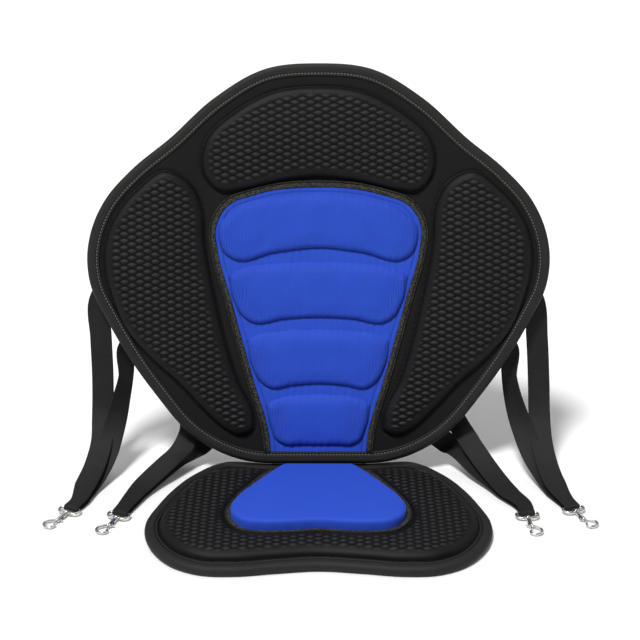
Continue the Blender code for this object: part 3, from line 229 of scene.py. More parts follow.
def resample(points, closed, step):
    """The same curve with evenly spaced points."""
    chain = np.concatenate((points, points[:1])) if closed else np.array(points)
    along = lengths(chain)
    marks = np.linspace(0.0, along[-1], max(int(round(along[-1] / step)), 3) + 1)
    return read_at(marks[:-1] if closed else marks, along, chain)


def mirrored(half):
    return list(half) + [(-across, up) for across, up in reversed(half) if across > 1e-9]


def scaled(shape, half_width, height):
    return [(across * half_width, up * height) for across, up in shape]


def edge_outline(shape, width, height, step=EDGE_STEP):
    """Cut edge of one half, with a straight run at the hinge."""
    straight = HINGE_STRAIGHT / 2
    half = [(0.0, 0.0), (straight * 0.87, 0.0), (straight, 0.0)] + scaled(shape, width / 2, height)
    return resample(smooth(mirrored(half), True, 10), True, step)


def headings(points, closed):
    after = np.roll(points, -1, axis=0) - points
    before = np.roll(after, 1, axis=0)
    if not closed:
        after[-1], before[0] = before[-1], after[0]
    return unit(unit(after) + unit(before))


def offset(loop, distance, closed=True):
    """The loop moved outwards, where it runs counter-clockwise."""
    along = headings(loop, closed)
    return loop + distance * np.stack((along[:, 1], -along[:, 0]), axis=1)


def panel_half():
    foot = PANEL_FOOT / 2
    start = [(foot, 0.0), (foot * 1.004, PANEL_HEIGHT * 0.03)]
    return start + scaled(PANEL_SHAPE, PANEL_WIDTH / 2, PANEL_HEIGHT)


def panel_edge(step):
    """Open path up the panel's right side, over its top and down its left side."""
    half = panel_half()
    return resample(smooth(half + [(-across, up) for across, up in reversed(half[:-1])], False), False, step)


def panel_loop():
    """The panel's edge, closed below the backrest's own edge."""
    below = [(side * PANEL_FOOT / 2, -0.02) for side in (-1, 1)]
    return np.concatenate((panel_edge(EDGE_STEP), below))


def panel_side(up):
    half = smooth(panel_half(), False)
    return np.interp(up, half[:, 1], half[:, 0])


def cell_outline(shares):
    """One padded cell: its top and bottom middles, and how far each droops at the sides."""
    top, bottom, top_drop, bottom_drop = (share * PANEL_HEIGHT for share in shares)
    upper, lower, corner = top - top_drop, bottom - bottom_drop, CELL_CORNER

    def side(up):
        return panel_side(up) - CELL_MARGIN

    half = [(0.0, bottom), (side(lower) * 0.45, bottom - bottom_drop * 0.35),
            (side(lower) - corner * 0.95, lower), (side(lower) - corner * 0.2, lower + corner * 0.45),
            (side(lower + corner * 1.3), lower + corner * 1.3),
            (side(upper - corner * 1.1), upper - corner * 1.1),
            (side(upper) - corner * 0.35, upper - corner * 0.25),
            (side(upper) - corner * 1.1, upper + top_drop * 0.25),
            (side(upper) * 0.5, top - top_drop * 0.22), (0.0, top)]
    return resample(smooth(mirrored(half), True), True, 0.004)


def center_pad_outline(step):
    half = [(0.0, 0.0)] + scaled(PAD_SHAPE, PAD_WIDTH / 2, PAD_DEPTH - PAD_START)
    loop = resample(smooth(mirrored(half), True), True, step)
    return np.stack((loop[:, 0], np.maximum(loop[:, 1], 0.0) + PAD_START), axis=1)


def pad_outlines():
    top_pad = mirrored(scaled(TOP_PAD, BACK_HALF, BACK_HEIGHT))
    right_pad = scaled(SIDE_PAD, BACK_HALF, BACK_HEIGHT)
    left_pad = [(-across, up) for across, up in reversed(right_pad)]
    return [resample(smooth(pad, True), True, 0.005) for pad in (top_pad, right_pad, left_pad)]


# Cloth patterns: arrays of places across and up

def pattern_grid(width, low, high, cell_x, cell_y):
    """Rows and columns of a flat cloth pattern that spans a width and runs from low to high."""
    columns = math.ceil(width / 2 / cell_x)
    rows = math.ceil((high - low) / cell_y)
    return np.meshgrid(np.arange(-columns, columns + 1) * cell_x, low + np.arange(rows + 1) * cell_y)


def depth_in(loops, across, up):
    """How far inside any of the loops each place lies; negative outside them all."""
    depths = []
    for loop in loops:
        nearest = np.full(across.shape, 1e9)
        crossings = np.zeros(across.shape, int)
        for (ax, ay), (bx, by) in zip(loop, np.roll(loop, -1, axis=0)):
            sx, sy = bx - ax, by - ay
            dx, dy = across - ax, up - ay
            share = np.clip((dx * sx + dy * sy) / (sx * sx + sy * sy + 1e-18), 0.0, 1.0)
            nearest = np.minimum(nearest, (dx - share * sx) ** 2 + (dy - share * sy) ** 2)
            if sy:
                crossings += ((ay > up) != (by > up)) & (dx < dy * sx / sy)
        depths.append(np.where(crossings % 2 == 1, 1.0, -1.0) * np.sqrt(nearest))
    return np.max(depths, axis=0)


def shoulder(depth, width):
    """Rounded shoulder: 0 at the foot of a pad, 1 past the width."""
    return np.sqrt(1.0 - (1.0 - np.clip(depth / width, 0.0, 1.0)) ** 2)


def ease(share):
    share = np.clip(share, 0.0, 1.0)
    return share * share * (3 - 2 * share)


def line_at(depth, middle, width):
    """A soft line in the cloth: 1 at the middle depth, fading over the width."""
    return np.exp(-((depth - middle) / width) ** 2)


def ripple(across, up, scale, seed):
    """Slow random waves, the same on each run."""
    shift = Vector((seed * 7.31, seed * 3.77, seed * 1.93))
    waves = [noise.noise(Vector((x, y, 0.0)) / scale + shift) for x, y in zip(across.flat, up.flat)]
    return np.array(waves).reshape(across.shape)


def lenses(across, up, pitch_x, pitch_y):
    """Staggered lens-shaped bumps with pointed ends, from 1 on a crown to 0 in the pits."""
    best = np.zeros(across.shape)
    for shift in (0.0, 0.5):
        dx = (across / pitch_x + shift) % 1.0 - 0.5
        dy = (up / pitch_y + shift) % 1.0 - 0.5
        reach = np.maximum(1.0 - (dx / 0.31) ** 2, 1e-6)
        best = np.maximum(best, reach - (dy / 0.32) ** 2 / reach)
    return best


def facing_up(depth):
    """Which way the edge of a pad looks: 1 along its lower edge, -1 along its upper one."""
    rise, side = np.gradient(depth)
    return rise / np.maximum(np.hypot(rise, side), 1e-9)


# Modelling

def only(piece):
    bpy.ops.object.select_all(action="DESELECT")
    piece.select_set(True)
    bpy.context.view_layer.objects.active = piece


def edited(piece, operator, **settings):
    """Runs one mesh operator on the whole of a piece."""
    only(piece)
    bpy.ops.object.mode_set(mode="EDIT")
    bpy.ops.mesh.select_all(action="SELECT")
    operator(**settings)
    bpy.ops.object.mode_set(mode="OBJECT")


def corners(mesh):
    """Places of a mesh's vertices."""
    places = np.empty(len(mesh.vertices) * 3)
    mesh.vertices.foreach_get("co", places)
    return places.reshape(-1, 3)


def mark(piece, name, values):
    attribute = piece.data.attributes.new(name, "FLOAT", "POINT")
    attribute.data.foreach_set("value", np.ascontiguousarray(values, float).reshape(-1))


def apply_all(piece):
    only(piece)
    for modifier in list(piece.modifiers):
        bpy.ops.object.modifier_apply(modifier=modifier.name)


def dress(piece, body, finish, slot, *nodes):
    """Gives a finished piece its material and its place in the frame."""
    piece.data.materials.clear()
    piece.data.materials.append(FINISHES[finish])
    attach(piece, body)
    if nodes:
        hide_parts(*nodes)
    return piece


def laid_grid(name, places, pattern=None, closed_along=False, closed_round=False, capped=False, relief=None):
    """A grid laid on an array of places; its UV map holds the pattern's own metres."""
    rows, columns = places.shape[:2]
    bpy.ops.object.select_all(action="DESELECT")
    bpy.ops.mesh.primitive_grid_add(x_subdivisions=columns - 1, y_subdivisions=rows - 1, size=1)
    piece = bpy.context.object
    piece.name = piece.data.name = name
    mesh = piece.data
    mesh.vertices.foreach_set("co", places.reshape(-1))
    if relief is not None:
        mark(piece, "relief", np.broadcast_to(relief, places.shape[:2]))
    if pattern is None:
        steps = [np.linalg.norm(np.diff(places, axis=axis), axis=2).mean(axis=1 - axis) for axis in (0, 1)]
        along, across = (np.concatenate(([0.0], np.cumsum(step))) for step in steps)
        pattern = np.stack(np.broadcast_arrays(across[None, :], along[:, None]), axis=-1)
    corner = np.empty(len(mesh.loops), int)
    mesh.loops.foreach_get("vertex_index", corner)
    mesh.uv_layers[0].data.foreach_set("uv", pattern.reshape(-1, 2)[corner].reshape(-1))
    if closed_along or closed_round:
        edited(piece, bpy.ops.mesh.remove_doubles, threshold=1e-6)
    if capped:
        bpy.ops.object.mode_set(mode="EDIT")
        bpy.ops.mesh.select_all(action="DESELECT")
        bpy.ops.mesh.select_mode(type="EDGE")
        bpy.ops.mesh.select_non_manifold(extend=False, use_wire=False, use_multi_face=False,
                                         use_non_contiguous=False, use_verts=False)
        bpy.ops.mesh.edge_face_add()
        bpy.ops.mesh.select_mode(type="VERT")
        bpy.ops.object.mode_set(mode="OBJECT")
    if closed_round:
        edited(piece, bpy.ops.mesh.normals_make_consistent, inside=False)
    bpy.ops.object.shade_smooth()
    return piece


def shut(rings):
    """Rings whose last point repeats the first, so that the grid closes on itself."""
    return np.concatenate((rings, rings[:, :1]), axis=1)


def swept(name, place, path, section, relief=None, looped=False):
    """A section of (out, level) pairs swept along a path of the pattern."""
    rings = np.stack([place(*offset(path, out, looped).T, level) for out, level in section], axis=1)
    if looped:
        rings = np.concatenate((rings, rings[:1]))
    return laid_grid(name, shut(rings), closed_along=looped, closed_round=True, capped=not looped,
                     relief=relief + relief[:1])


def face_front(piece, toward):
    """Turns a sheet's faces so that they look the given way."""
    normals = np.empty(len(piece.data.polygons) * 3)
    piece.data.polygons.foreach_get("normal", normals)
    if (normals.reshape(-1, 3) @ np.array(toward)).mean() < 0:
        edited(piece, bpy.ops.mesh.flip_normals)


def cut_away(piece, drop):
    """Deletes the vertices marked in drop."""
    only(piece)
    bpy.ops.object.mode_set(mode="EDIT")
    bpy.ops.mesh.select_mode(type="VERT")
    bpy.ops.mesh.select_all(action="DESELECT")
    bpy.ops.object.mode_set(mode="OBJECT")
    piece.data.vertices.foreach_set("select", drop.reshape(-1))
    bpy.ops.object.mode_set(mode="EDIT")
    bpy.ops.mesh.delete(type="VERT")
    bpy.ops.object.mode_set(mode="OBJECT")


def laid_cloth(name, place, pattern, height, moved, drop, toward, **marks):
    """A cloth laid from its flat pattern, trimmed where drop says, with its marks kept."""
    across, up = pattern
    places = place(across + moved[..., 0], up + moved[..., 1], height + moved[..., 2])
    sheet = laid_grid(name, places, np.stack(pattern, axis=-1))
    for mark_name, values in marks.items():
        mark(sheet, mark_name, values)
    cut_away(sheet, drop)
    face_front(sheet, toward)
    return sheet


def blown_up(name, pattern, height, free, pressure, slack, cap):
    """How far a cloth moves when it is held outside its pads and blown up from below."""
    start = np.stack((*pattern, height), axis=-1)
    sheet = laid_grid(name, start)
    grip = sheet.vertex_groups.new(name="grip")
    grip.add(np.flatnonzero(free <= 0.0).tolist(), 1.0, "REPLACE")
    cloth = sheet.modifiers.new("Cloth", "CLOTH")
    cloth.settings.quality = SIM_QUALITY
    cloth.settings.vertex_group_mass = "grip"
    cloth.settings.use_pressure = True
    cloth.settings.uniform_pressure_force = pressure
    cloth.settings.effector_weights.gravity = 0.0
    cloth.settings.shrink_min = -slack
    cloth.settings.bending_stiffness = SIM_STIFFNESS
    cloth.collision_settings.use_collision = False
    cloth.point_cache.frame_end = SIM_FRAMES
    scene = bpy.context.scene
    for number in range(1, SIM_FRAMES + 1):
        scene.frame_set(number)
    settled = sheet.evaluated_get(bpy.context.evaluated_depsgraph_get()).to_mesh()
    moved = corners(settled).reshape(start.shape) - start
    scene.frame_set(1)
    bpy.data.objects.remove(sheet)
    reach = np.linalg.norm(moved, axis=-1, keepdims=True)
    return moved * np.minimum(1.0, cap / np.maximum(reach, 1e-9))


def carried_over(moved, coarse, fine):
    """Cloth movement, evened out, read off a coarse pattern for each place of a fine one."""
    for _ in range(2):
        wide = np.pad(moved, ((1, 1), (1, 1), (0, 0)), mode="edge")
        moved = (wide[:-2, 1:-1] + wide[2:, 1:-1] + wide[1:-1, :-2] + wide[1:-1, 2:] + 4 * moved) / 8
    (left, right), low, high = coarse[0][0, :2], coarse[1][0, 0], coarse[1][1, 0]
    column = np.clip((fine[0] - left) / (right - left), 0, moved.shape[1] - 1.001)
    row = np.clip((fine[1] - low) / (high - low), 0, moved.shape[0] - 1.001)
    i, j = row.astype(int), column.astype(int)
    u, v = (column - j)[..., None], (row - i)[..., None]
    return ((moved[i, j] * (1 - u) + moved[i, j + 1] * u) * (1 - v)
            + (moved[i + 1, j] * (1 - u) + moved[i + 1, j + 1] * u) * v)


def stitches(name, path, outward, set_to):
    """A row of thread stitches along a path; outward is the way they stand off the cloth."""
    length, width = set_to.stitch_length, set_to.thread_width
    along = lengths(path)
    marks = np.arange(set_to.stitch_gap, along[-1] - length, length + set_to.stitch_gap) + length / 2
    middles = read_at(marks, along, path)
    ups = unit(read_at(marks, along, outward))
    ahead = read_at(marks + 0.001, along, path) - middles
    ahead = unit(ahead - ups * (ahead * ups).sum(axis=1)[:, None])
    side = np.cross(ups, ahead)
    bpy.ops.object.select_all(action="DESELECT")
    bpy.ops.mesh.primitive_uv_sphere_add(segments=8, ring_count=6, radius=0.5)
    seed = bpy.context.object
    shape = corners(seed.data)
    shape[:, 2] *= np.sqrt(np.clip(1.15 - (2 * shape[:, 2]) ** 2 * 0.1, 0, 1))
    faces = [tuple(polygon.vertices) for polygon in seed.data.polygons]
    x, y, z = (shape[None, :, axis, None] for axis in range(3))
    points = (middles[:, None] + z * length * ahead[:, None] + x * width * side[:, None]
              + (y * width * 0.7 + (0.25 - z ** 2) * width * 0.5) * ups[:, None])
    count = len(shape)
    rows = [tuple(k * count + corner for corner in face) for k in range(len(middles)) for face in faces]
    mesh = bpy.data.meshes.new(name)
    mesh.from_pydata(points.reshape(-1, 3).tolist(), [], rows)
    bpy.data.objects.remove(seed)
    piece = bpy.data.objects.new(name, mesh)
    bpy.context.scene.collection.objects.link(piece)
    edited(piece, bpy.ops.mesh.normals_make_consistent, inside=False)
    bpy.ops.object.shade_smooth()
    return piece


# Materials

EFFECTS = {}
FINISHES = {}


class Shading:
    """Adds nodes to a shader tree: a socket takes a number or a colour, or is linked to an output."""

    def __init__(self, tree):
        self.tree = tree

    def feed(self, sockets, values):
        for name, value in values.items():
            socket = sockets[name.replace("_", " ") if isinstance(name, str) else name]
            if isinstance(value, bpy.types.NodeSocket):
                self.tree.links.new(value, socket)
            else:
                socket.default_value = (*value, 1.0) if isinstance(value, tuple) else value

    def node(self, kind, **values):
        made = self.tree.nodes.new("ShaderNode" + kind)
        self.feed(made.inputs, values)
        return made

    def times(self, first, second):
        return self.math("MULTIPLY", first, second)

    def plus(self, first, second):
        return self.math("ADD", first, second)

    def math(self, operation, *values):
        made = self.node("Math")
        made.operation = operation
        self.feed(made.inputs, dict(enumerate(values)))
        return made.outputs[0]

    def noise(self, place, scale, detail=2.0, roughness=0.6):
        made = self.node("TexNoise", Vector=place, Scale=scale, Detail=detail, Roughness=roughness)
        return made.outputs["Fac"]

    def attribute(self, name):
        made = self.node("Attribute")
        made.attribute_name = name
        return made.outputs["Fac"]

    def effect(self, name, **values):
        made = self.node("Group")
        made.node_tree = EFFECTS[name]
        self.feed(made.inputs, values)
        return made.outputs

    def blend(self, factor, low, high):
        made = self.node("Mix")
        made.data_type = "RGBA"
        self.feed(made.inputs, {0: factor, 6: low, 7: high})
        return made.outputs[2]

    def bump(self, height, distance, **under):
        return self.node("Bump", Height=height, Distance=distance, Strength=1.0, **under).outputs["Normal"]

    def place(self, kind):
        return self.node("TexCoord").outputs[kind]

    def axes(self, place):
        return self.node("SeparateXYZ", Vector=place).outputs


def darker(color, share):
    return tuple(value * share for value in color)


def group(name, inputs, outputs):
    """An empty shader group, with the sockets that it reads from and those that it ends in."""
    tree = bpy.data.node_groups.new(name, "ShaderNodeTree")
    for socket, value in inputs.items():
        kind = "NodeSocketVector" if value is None else "NodeSocketFloat"
        made = tree.interface.new_socket(name=socket, in_out="INPUT", socket_type=kind)
        if value is not None:
            made.default_value = value
    for socket in outputs:
        tree.interface.new_socket(name=socket, in_out="OUTPUT", socket_type="NodeSocketFloat")
    return Shading(tree), tree.nodes.new("NodeGroupInput").outputs, tree.nodes.new("NodeGroupOutput").inputs


def weave_group():
    """Plain weave: Height of the threads and a Shade that varies from thread to thread."""
    rates = {"Across per Metre": 1500.0, "Along per Metre": 1500.0}
    make, start, end = group("Plain Weave", {"Vector": None, **rates, "Unevenness": 0.3}, ("Height", "Shade"))
    axes = make.axes(start["Vector"])
    slur = make.times(make.noise(start["Vector"], 90.0, 3.0), start["Unevenness"])
    waves = []
    for axis, rate in enumerate(rates):
        turns = make.times(axes[axis], start[rate])
        turns = make.plus(turns, make.times(slur, 4.0))
        waves.append(make.math("SINE", make.times(turns, math.pi)))
    height = make.math("MULTIPLY_ADD", make.times(*waves), 0.5, 0.5)
    speck = make.noise(start["Vector"], 700.0, 2.0, 0.7)
    shade_out = make.times(make.plus(speck, height), 0.5)
    make.feed(end, {"Height": height, "Shade": shade_out})
    return make.tree


def mottle_group():
    """Slow fading and wear of cloth: one Mask from two sizes of noise."""
    make, start, end = group("Cloth Mottle", {"Vector": None, "Scale": 30.0}, ("Mask",))
    slow = make.noise(start["Vector"], start["Scale"])
    fine = make.noise(start["Vector"], make.times(start["Scale"], 14.0))
    both = make.plus(make.times(slow, 0.65), make.times(fine, 0.35))
    ramp = make.node("MapRange", From_Min=0.3, From_Max=0.7, Value=both)
    make.feed(end, {"Mask": ramp.outputs["Result"]})
    return make.tree


def relief_group():
    """Painted shade in the cloth's folds and pits and a painted highlight on its crowns: 0 in the folds, 1 on
    the crowns.
    """
    make, start, end = group("Relief Shade", {"Contrast": 1.0}, ("Mask",))
    ramp = make.node("MapRange", From_Min=0.0, From_Max=start["Contrast"], Value=make.attribute("relief"))
    ramp.interpolation_type = "SMOOTHSTEP"
    make.feed(end, {"Mask": ramp.outputs["Result"]})
    return make.tree


def shader(name, **fixed):
    material = bpy.data.materials.new(name)
    material.use_nodes = True
    make = Shading(material.node_tree)
    surface = material.node_tree.nodes["Principled BSDF"].inputs
    make.feed(surface, fixed)
    return material, make, surface


def cloth_material(name, low, high, threads, roughness, relief=0.0, sheen=0.02, gathers=0.0, shine=0.22):
    """Woven cloth between two colours; where it has a relief, with painted shade in its folds and pits and a
    painted highlight on its crowns.
    """
    material, make, surface = shader(name, Roughness=roughness, Specular_IOR_Level=shine, Sheen_Weight=sheen,
                                     Sheen_Roughness=0.4)
    place = make.place("UV")
    weave = make.effect("weave", Vector=place, Across_per_Metre=threads[0], Along_per_Metre=threads[1],
                        Unevenness=0.25)
    patch = make.effect("mottle", Vector=place, Scale=25.0)["Mask"]
    tone = make.plus(make.times(weave["Shade"], 0.55), make.times(patch, 0.45))
    color = make.blend(tone, low, high)
    if relief:
        # Painted shade in the folds and pits and painted highlight on the crowns, read from the relief
        # attribute
        color = make.blend(make.effect("relief", Contrast=relief)["Mask"], darker(low, 0.06), color)
    normal = make.bump(weave["Height"], 0.00012)
    if gathers:
        lines = make.node("TexWave", Vector=place, Scale=105.0, Distortion=9.0, Detail=1.0, Detail_Scale=0.45)
        strong = make.times(lines.outputs["Fac"], make.attribute("gathers"))
        # Painted shade in the troughs of the gathered wrinkles, which the bump below sinks
        color = make.blend(make.times(strong, gathers), color, darker(low, 0.45))
        normal = make.bump(make.times(strong, -1.0), 0.00035, Normal=normal)
    make.feed(surface, {"Base Color": color, "Normal": normal})
    return material


def ribbed_material(name, low, high, ribs, depth, roughness, flecks=None, relief=0.0):
    """Narrow woven tape whose ribs follow its UV map, with or without rows of coloured threads."""
    material, make, surface = shader(name, Roughness=roughness, Specular_IOR_Level=0.25)
    place = make.place("UV")
    across, along = make.axes(place)[:2]
    rib = make.math("SINE", make.times(along, ribs * math.pi))
    slant = make.times(along, ribs * 0.5)
    twill = make.plus(make.times(across, ribs * 1.3), slant)
    twill = make.math("SINE", make.times(twill, math.pi))
    height = make.math("MULTIPLY_ADD", make.plus(rib, twill), 0.25, 0.5)
    patch = make.effect("mottle", Vector=place, Scale=60.0)["Mask"]
    color = make.blend(make.times(make.plus(height, patch), 0.5), low, high)
    if flecks:
        turned = make.node("CombineXYZ", X=along, Y=across).outputs[0]
        rows = make.node("TexBrick", Vector=turned, Scale=1.0, Brick_Width=0.0020, Row_Height=0.0013,
                         Mortar_Size=0.0003, Bias=-0.15, Color1=high, Color2=flecks, Mortar=low)
        color = rows.outputs["Color"]
        height = make.math("SUBTRACT", height, rows.outputs["Fac"])
    if relief:
        # Painted shade in the tape's grooves, tucks and hollows, read from the relief attribute
        color = make.blend(make.effect("relief", Contrast=relief)["Mask"], darker(low, 0.25), color)
    make.feed(surface, {"Base Color": color, "Normal": make.bump(height, depth)})
    return material


def nickel_material(color):
    material, make, surface = shader("nickel plating", Metallic=1.0, Base_Color=color)
    place = make.place("Object")
    patch = make.effect("mottle", Vector=place, Scale=240.0)["Mask"]
    make.feed(surface, {"Base Color": make.blend(patch, darker(color, 0.8), color),
                        "Roughness": make.math("MULTIPLY_ADD", patch, 0.16, 0.14),
                        "Normal": make.bump(make.noise(place, 900.0), 0.00004)})
    return material


def grained_material(name, color, roughness, low_share, depth, grain):
    """Plain plastic or foam, darker in the pits of its grain."""
    material, make, surface = shader(name, Roughness=roughness)
    pits = grain(make, make.place("Object"))
    make.feed(surface, {"Base Color": make.blend(pits, darker(color, low_share), color),
                        "Normal": make.bump(pits, depth)})
    return material


def size(name, description, default, low, high):
    return FloatProperty(name=name, description=description, default=default, min=low, max=high,
                         subtype="DISTANCE", unit="LENGTH", precision=4)


def shade(name, description, default):
    return FloatVectorProperty(name=name, description=description, default=default, min=0.0, max=1.0, size=3,
                               subtype="COLOR")


class KayakSeatColors(bpy.types.PropertyGroup):
    """Colours of the cloth, the webbing and the metal."""
    moulded: shade("Moulded cloth", "Black knitted cloth of the pads and the cushion", (0.026, 0.026, 0.028))
    panel: shade("Panel cloth", "Blue cloth of the panel and the seat's middle pad", (0.020, 0.072, 0.54))
    binding: shade("Edge binding", "Folded tape round both halves", (0.016, 0.016, 0.015))
    trim: shade("Sewn trim", "Olive tape round the blue cloth", (0.024, 0.023, 0.018))
    fleck: shade("Trim flecks", "Tan threads in the sewn trim", (0.16, 0.155, 0.11))
    webbing: shade("Webbing", "Woven straps", (0.013, 0.013, 0.014))
    thread: shade("Thread", "Visible stitches along the binding", (0.20, 0.195, 0.175))
    nickel: shade("Nickel", "Plating of the snaps", (0.80, 0.78, 0.74))
    plastic: shade("Buckle plastic", "Slide buckles on the rear", (0.016, 0.016, 0.017))
    floor: shade("Floor", "Plain floor under the seat", (0.86, 0.86, 0.86))


class KayakSeatSizes(bpy.types.PropertyGroup):
    """Sizes of the cloth's relief, its stitches and its cells."""
    bump_rise: size("Bump rise", "Height of the moulded bumps above their pits", 0.0019, 0.0, 0.004)
    bump_pitch: size("Bump pitch", "Distance between bumps of one row", 0.0175, 0.006, 0.04)
    bump_row: size("Bump row pitch", "Distance between bumps of one column", 0.00775, 0.003, 0.02)
    pad_rise: size("Pad rise", "Height of the backrest's moulded pads", 0.0082, 0.0, 0.02)
    pad_shoulder: size("Pad shoulder", "Width of the rounded shoulder of a pad", 0.0100, 0.002, 0.03)
    cell_rise: size("Cell rise", "Height of the panel's padded cells", 0.0052, 0.0, 0.02)
    cell_shoulder: size("Cell shoulder", "Width of the rounded shoulder of a cell", 0.0072, 0.002, 0.03)
    cushion_rise: size("Cushion rise", "Height of the seat's cushion above its flange", 0.0100, 0.0, 0.03)
    cushion_shoulder: size("Cushion shoulder", "Width of the cushion's shoulder", 0.0130, 0.002, 0.03)
    channel_depth: size("Channel depth", "Depth of a sewn channel", 0.0016, 0.0, 0.005)
    channel_width: size("Channel width", "Width of a sewn channel", 0.0019, 0.0005, 0.006)
    stitch_length: size("Stitch length", "Length of one visible stitch", 0.0026, 0.001, 0.01)
    stitch_gap: size("Stitch gap", "Gap between two stitches", 0.0011, 0.0005, 0.01)
    thread_width: size("Thread width", "Width of the sewing thread", 0.0011, 0.0002, 0.002)


def sizes():
    return bpy.context.scene.kayak_seat_sizes


class KAYAKSEAT_OT_finishes(bpy.types.Operator):
    """Makes the shared shader groups and every material"""
    bl_idname = "kayak_seat.finishes"
    bl_label = "Finishes"

    def execute(self, context):
        tint = context.scene.kayak_seat_colors
        EFFECTS.update(weave=weave_group(), mottle=mottle_group(), relief=relief_group())
        for finish, name, color, low, high, settings in (
                ("moulded", "moulded knit", tint.moulded, 0.62, 1.0,
                 {"threads": (1300, 1300), "roughness": 0.50, "relief": 0.9, "shine": 0.14}),
                ("panel", "blue weave", tint.panel, 0.80, 1.0,
                 {"threads": (1500, 500), "roughness": 0.72, "relief": 0.9, "sheen": 0.04, "gathers": 0.45}),
                ("rear", "rear canvas", tint.moulded, 0.5, 0.9, {"threads": (900, 900), "roughness": 0.8})):
            FINISHES[finish] = cloth_material(name, darker(color, low), darker(color, high), **settings)
        for finish, name, color, low, settings in (
                ("binding", "edge tape", tint.binding, 0.55,
                 {"ribs": 900, "depth": 0.00012, "roughness": 0.66, "relief": 0.9}),
                ("trim", "sewn trim", tint.trim, 0.35,
                 {"ribs": 900, "depth": 0.00020, "roughness": 0.78, "relief": 0.9,
                  "flecks": tuple(tint.fleck)}),
                ("webbing", "webbing", tint.webbing, 0.3, {"ribs": 1000, "depth": 0.00030, "roughness": 0.6}),
                ("thread", "sewing thread", tint.thread, 0.6,
                 {"ribs": 2500, "depth": 0.00005, "roughness": 0.6})):
            FINISHES[finish] = ribbed_material(name, darker(color, low), tuple(color), **settings)
        FINISHES["nickel"] = nickel_material(tuple(tint.nickel))
        FINISHES["plastic"] = grained_material(
            "buckle plastic", tuple(tint.plastic), 0.42, 0.7, 0.00006,
            lambda make, place: make.noise(place, 2200.0))
        FINISHES["foam"] = grained_material(
            "closed-cell foam", (0.05, 0.05, 0.05), 0.9, 0.5, 0.0002,
            lambda make, place: make.node("TexVoronoi", Vector=place, Scale=900.0).outputs["Distance"])
        return {"FINISHED"}


class KAYAKSEAT_OT_backrest_cloth(bpy.types.Operator):
    """Moulded front cloth of the backrest, with three bumped pads"""
    bl_idname = "kayak_seat.backrest_cloth"
    bl_label = "Backrest Cloth"

    def execute(self, context):
        set_to = sizes()
        pads = pad_outlines()
        rough = pattern_grid(BACK_WIDTH, 0.0, BACK_HEIGHT, 0.008, 0.007)
        depth = depth_in(pads, *rough)
        moved = blown_up("pad_cloth", rough, set_to.pad_rise * shoulder(depth, set_to.pad_shoulder),
                         depth - 0.004, pressure=2.0, slack=0.0, cap=0.0030)
        fine = pattern_grid(BACK_WIDTH, 0.0, BACK_HEIGHT, set_to.bump_pitch / 9, set_to.bump_row / BUMP_CELLS)
        depth = depth_in(pads, *fine)
        inside = depth_in([edge_outline(BACK_SHAPE, BACK_WIDTH, BACK_HEIGHT)], *fine)
        from_panel = -depth_in([panel_loop()], *fine)
        bumped = ease((depth - 0.0065) / 0.006)
        dome = lenses(*fine, set_to.bump_pitch, set_to.bump_row)
        fade = 0.75 + 0.25 * ripple(*fine, 0.03, 1)
        height = LAYER / 2 + set_to.pad_rise * shoulder(depth, set_to.pad_shoulder)
        height = height + bumped * dome * set_to.bump_rise * fade + WAVE_RISE * ripple(*fine, WAVE_SPREAD, 2)
        # Folds sink deeper and take more painted shade along the pads' lower edges
        fold = line_at(depth, -0.0006, 0.0016) * np.clip(0.8 + 0.4 * facing_up(depth), 0.5, 1.0)
        height -= FOLD_DEPTH * fold * (np.minimum(from_panel, inside) > 0.004)
        # relief: painted highlight on the bump crowns, painted shade in the pits and in the folds
        sheet = laid_cloth("backrest_cloth", on_back, fine, height, carried_over(moved, rough, fine),
                           (inside < CLOTH_EDGE) | (from_panel < OPENING_EDGE), (0, -1, 0),
                           relief=(0.33 + bumped * (0.80 * dome ** 0.6 - 0.25)) * (1 - FOLD_SHADE * fold))
        dress(sheet, "backrest", "moulded", "moulded_fabric", "backrest_front_cover")
        return {"FINISHED"}


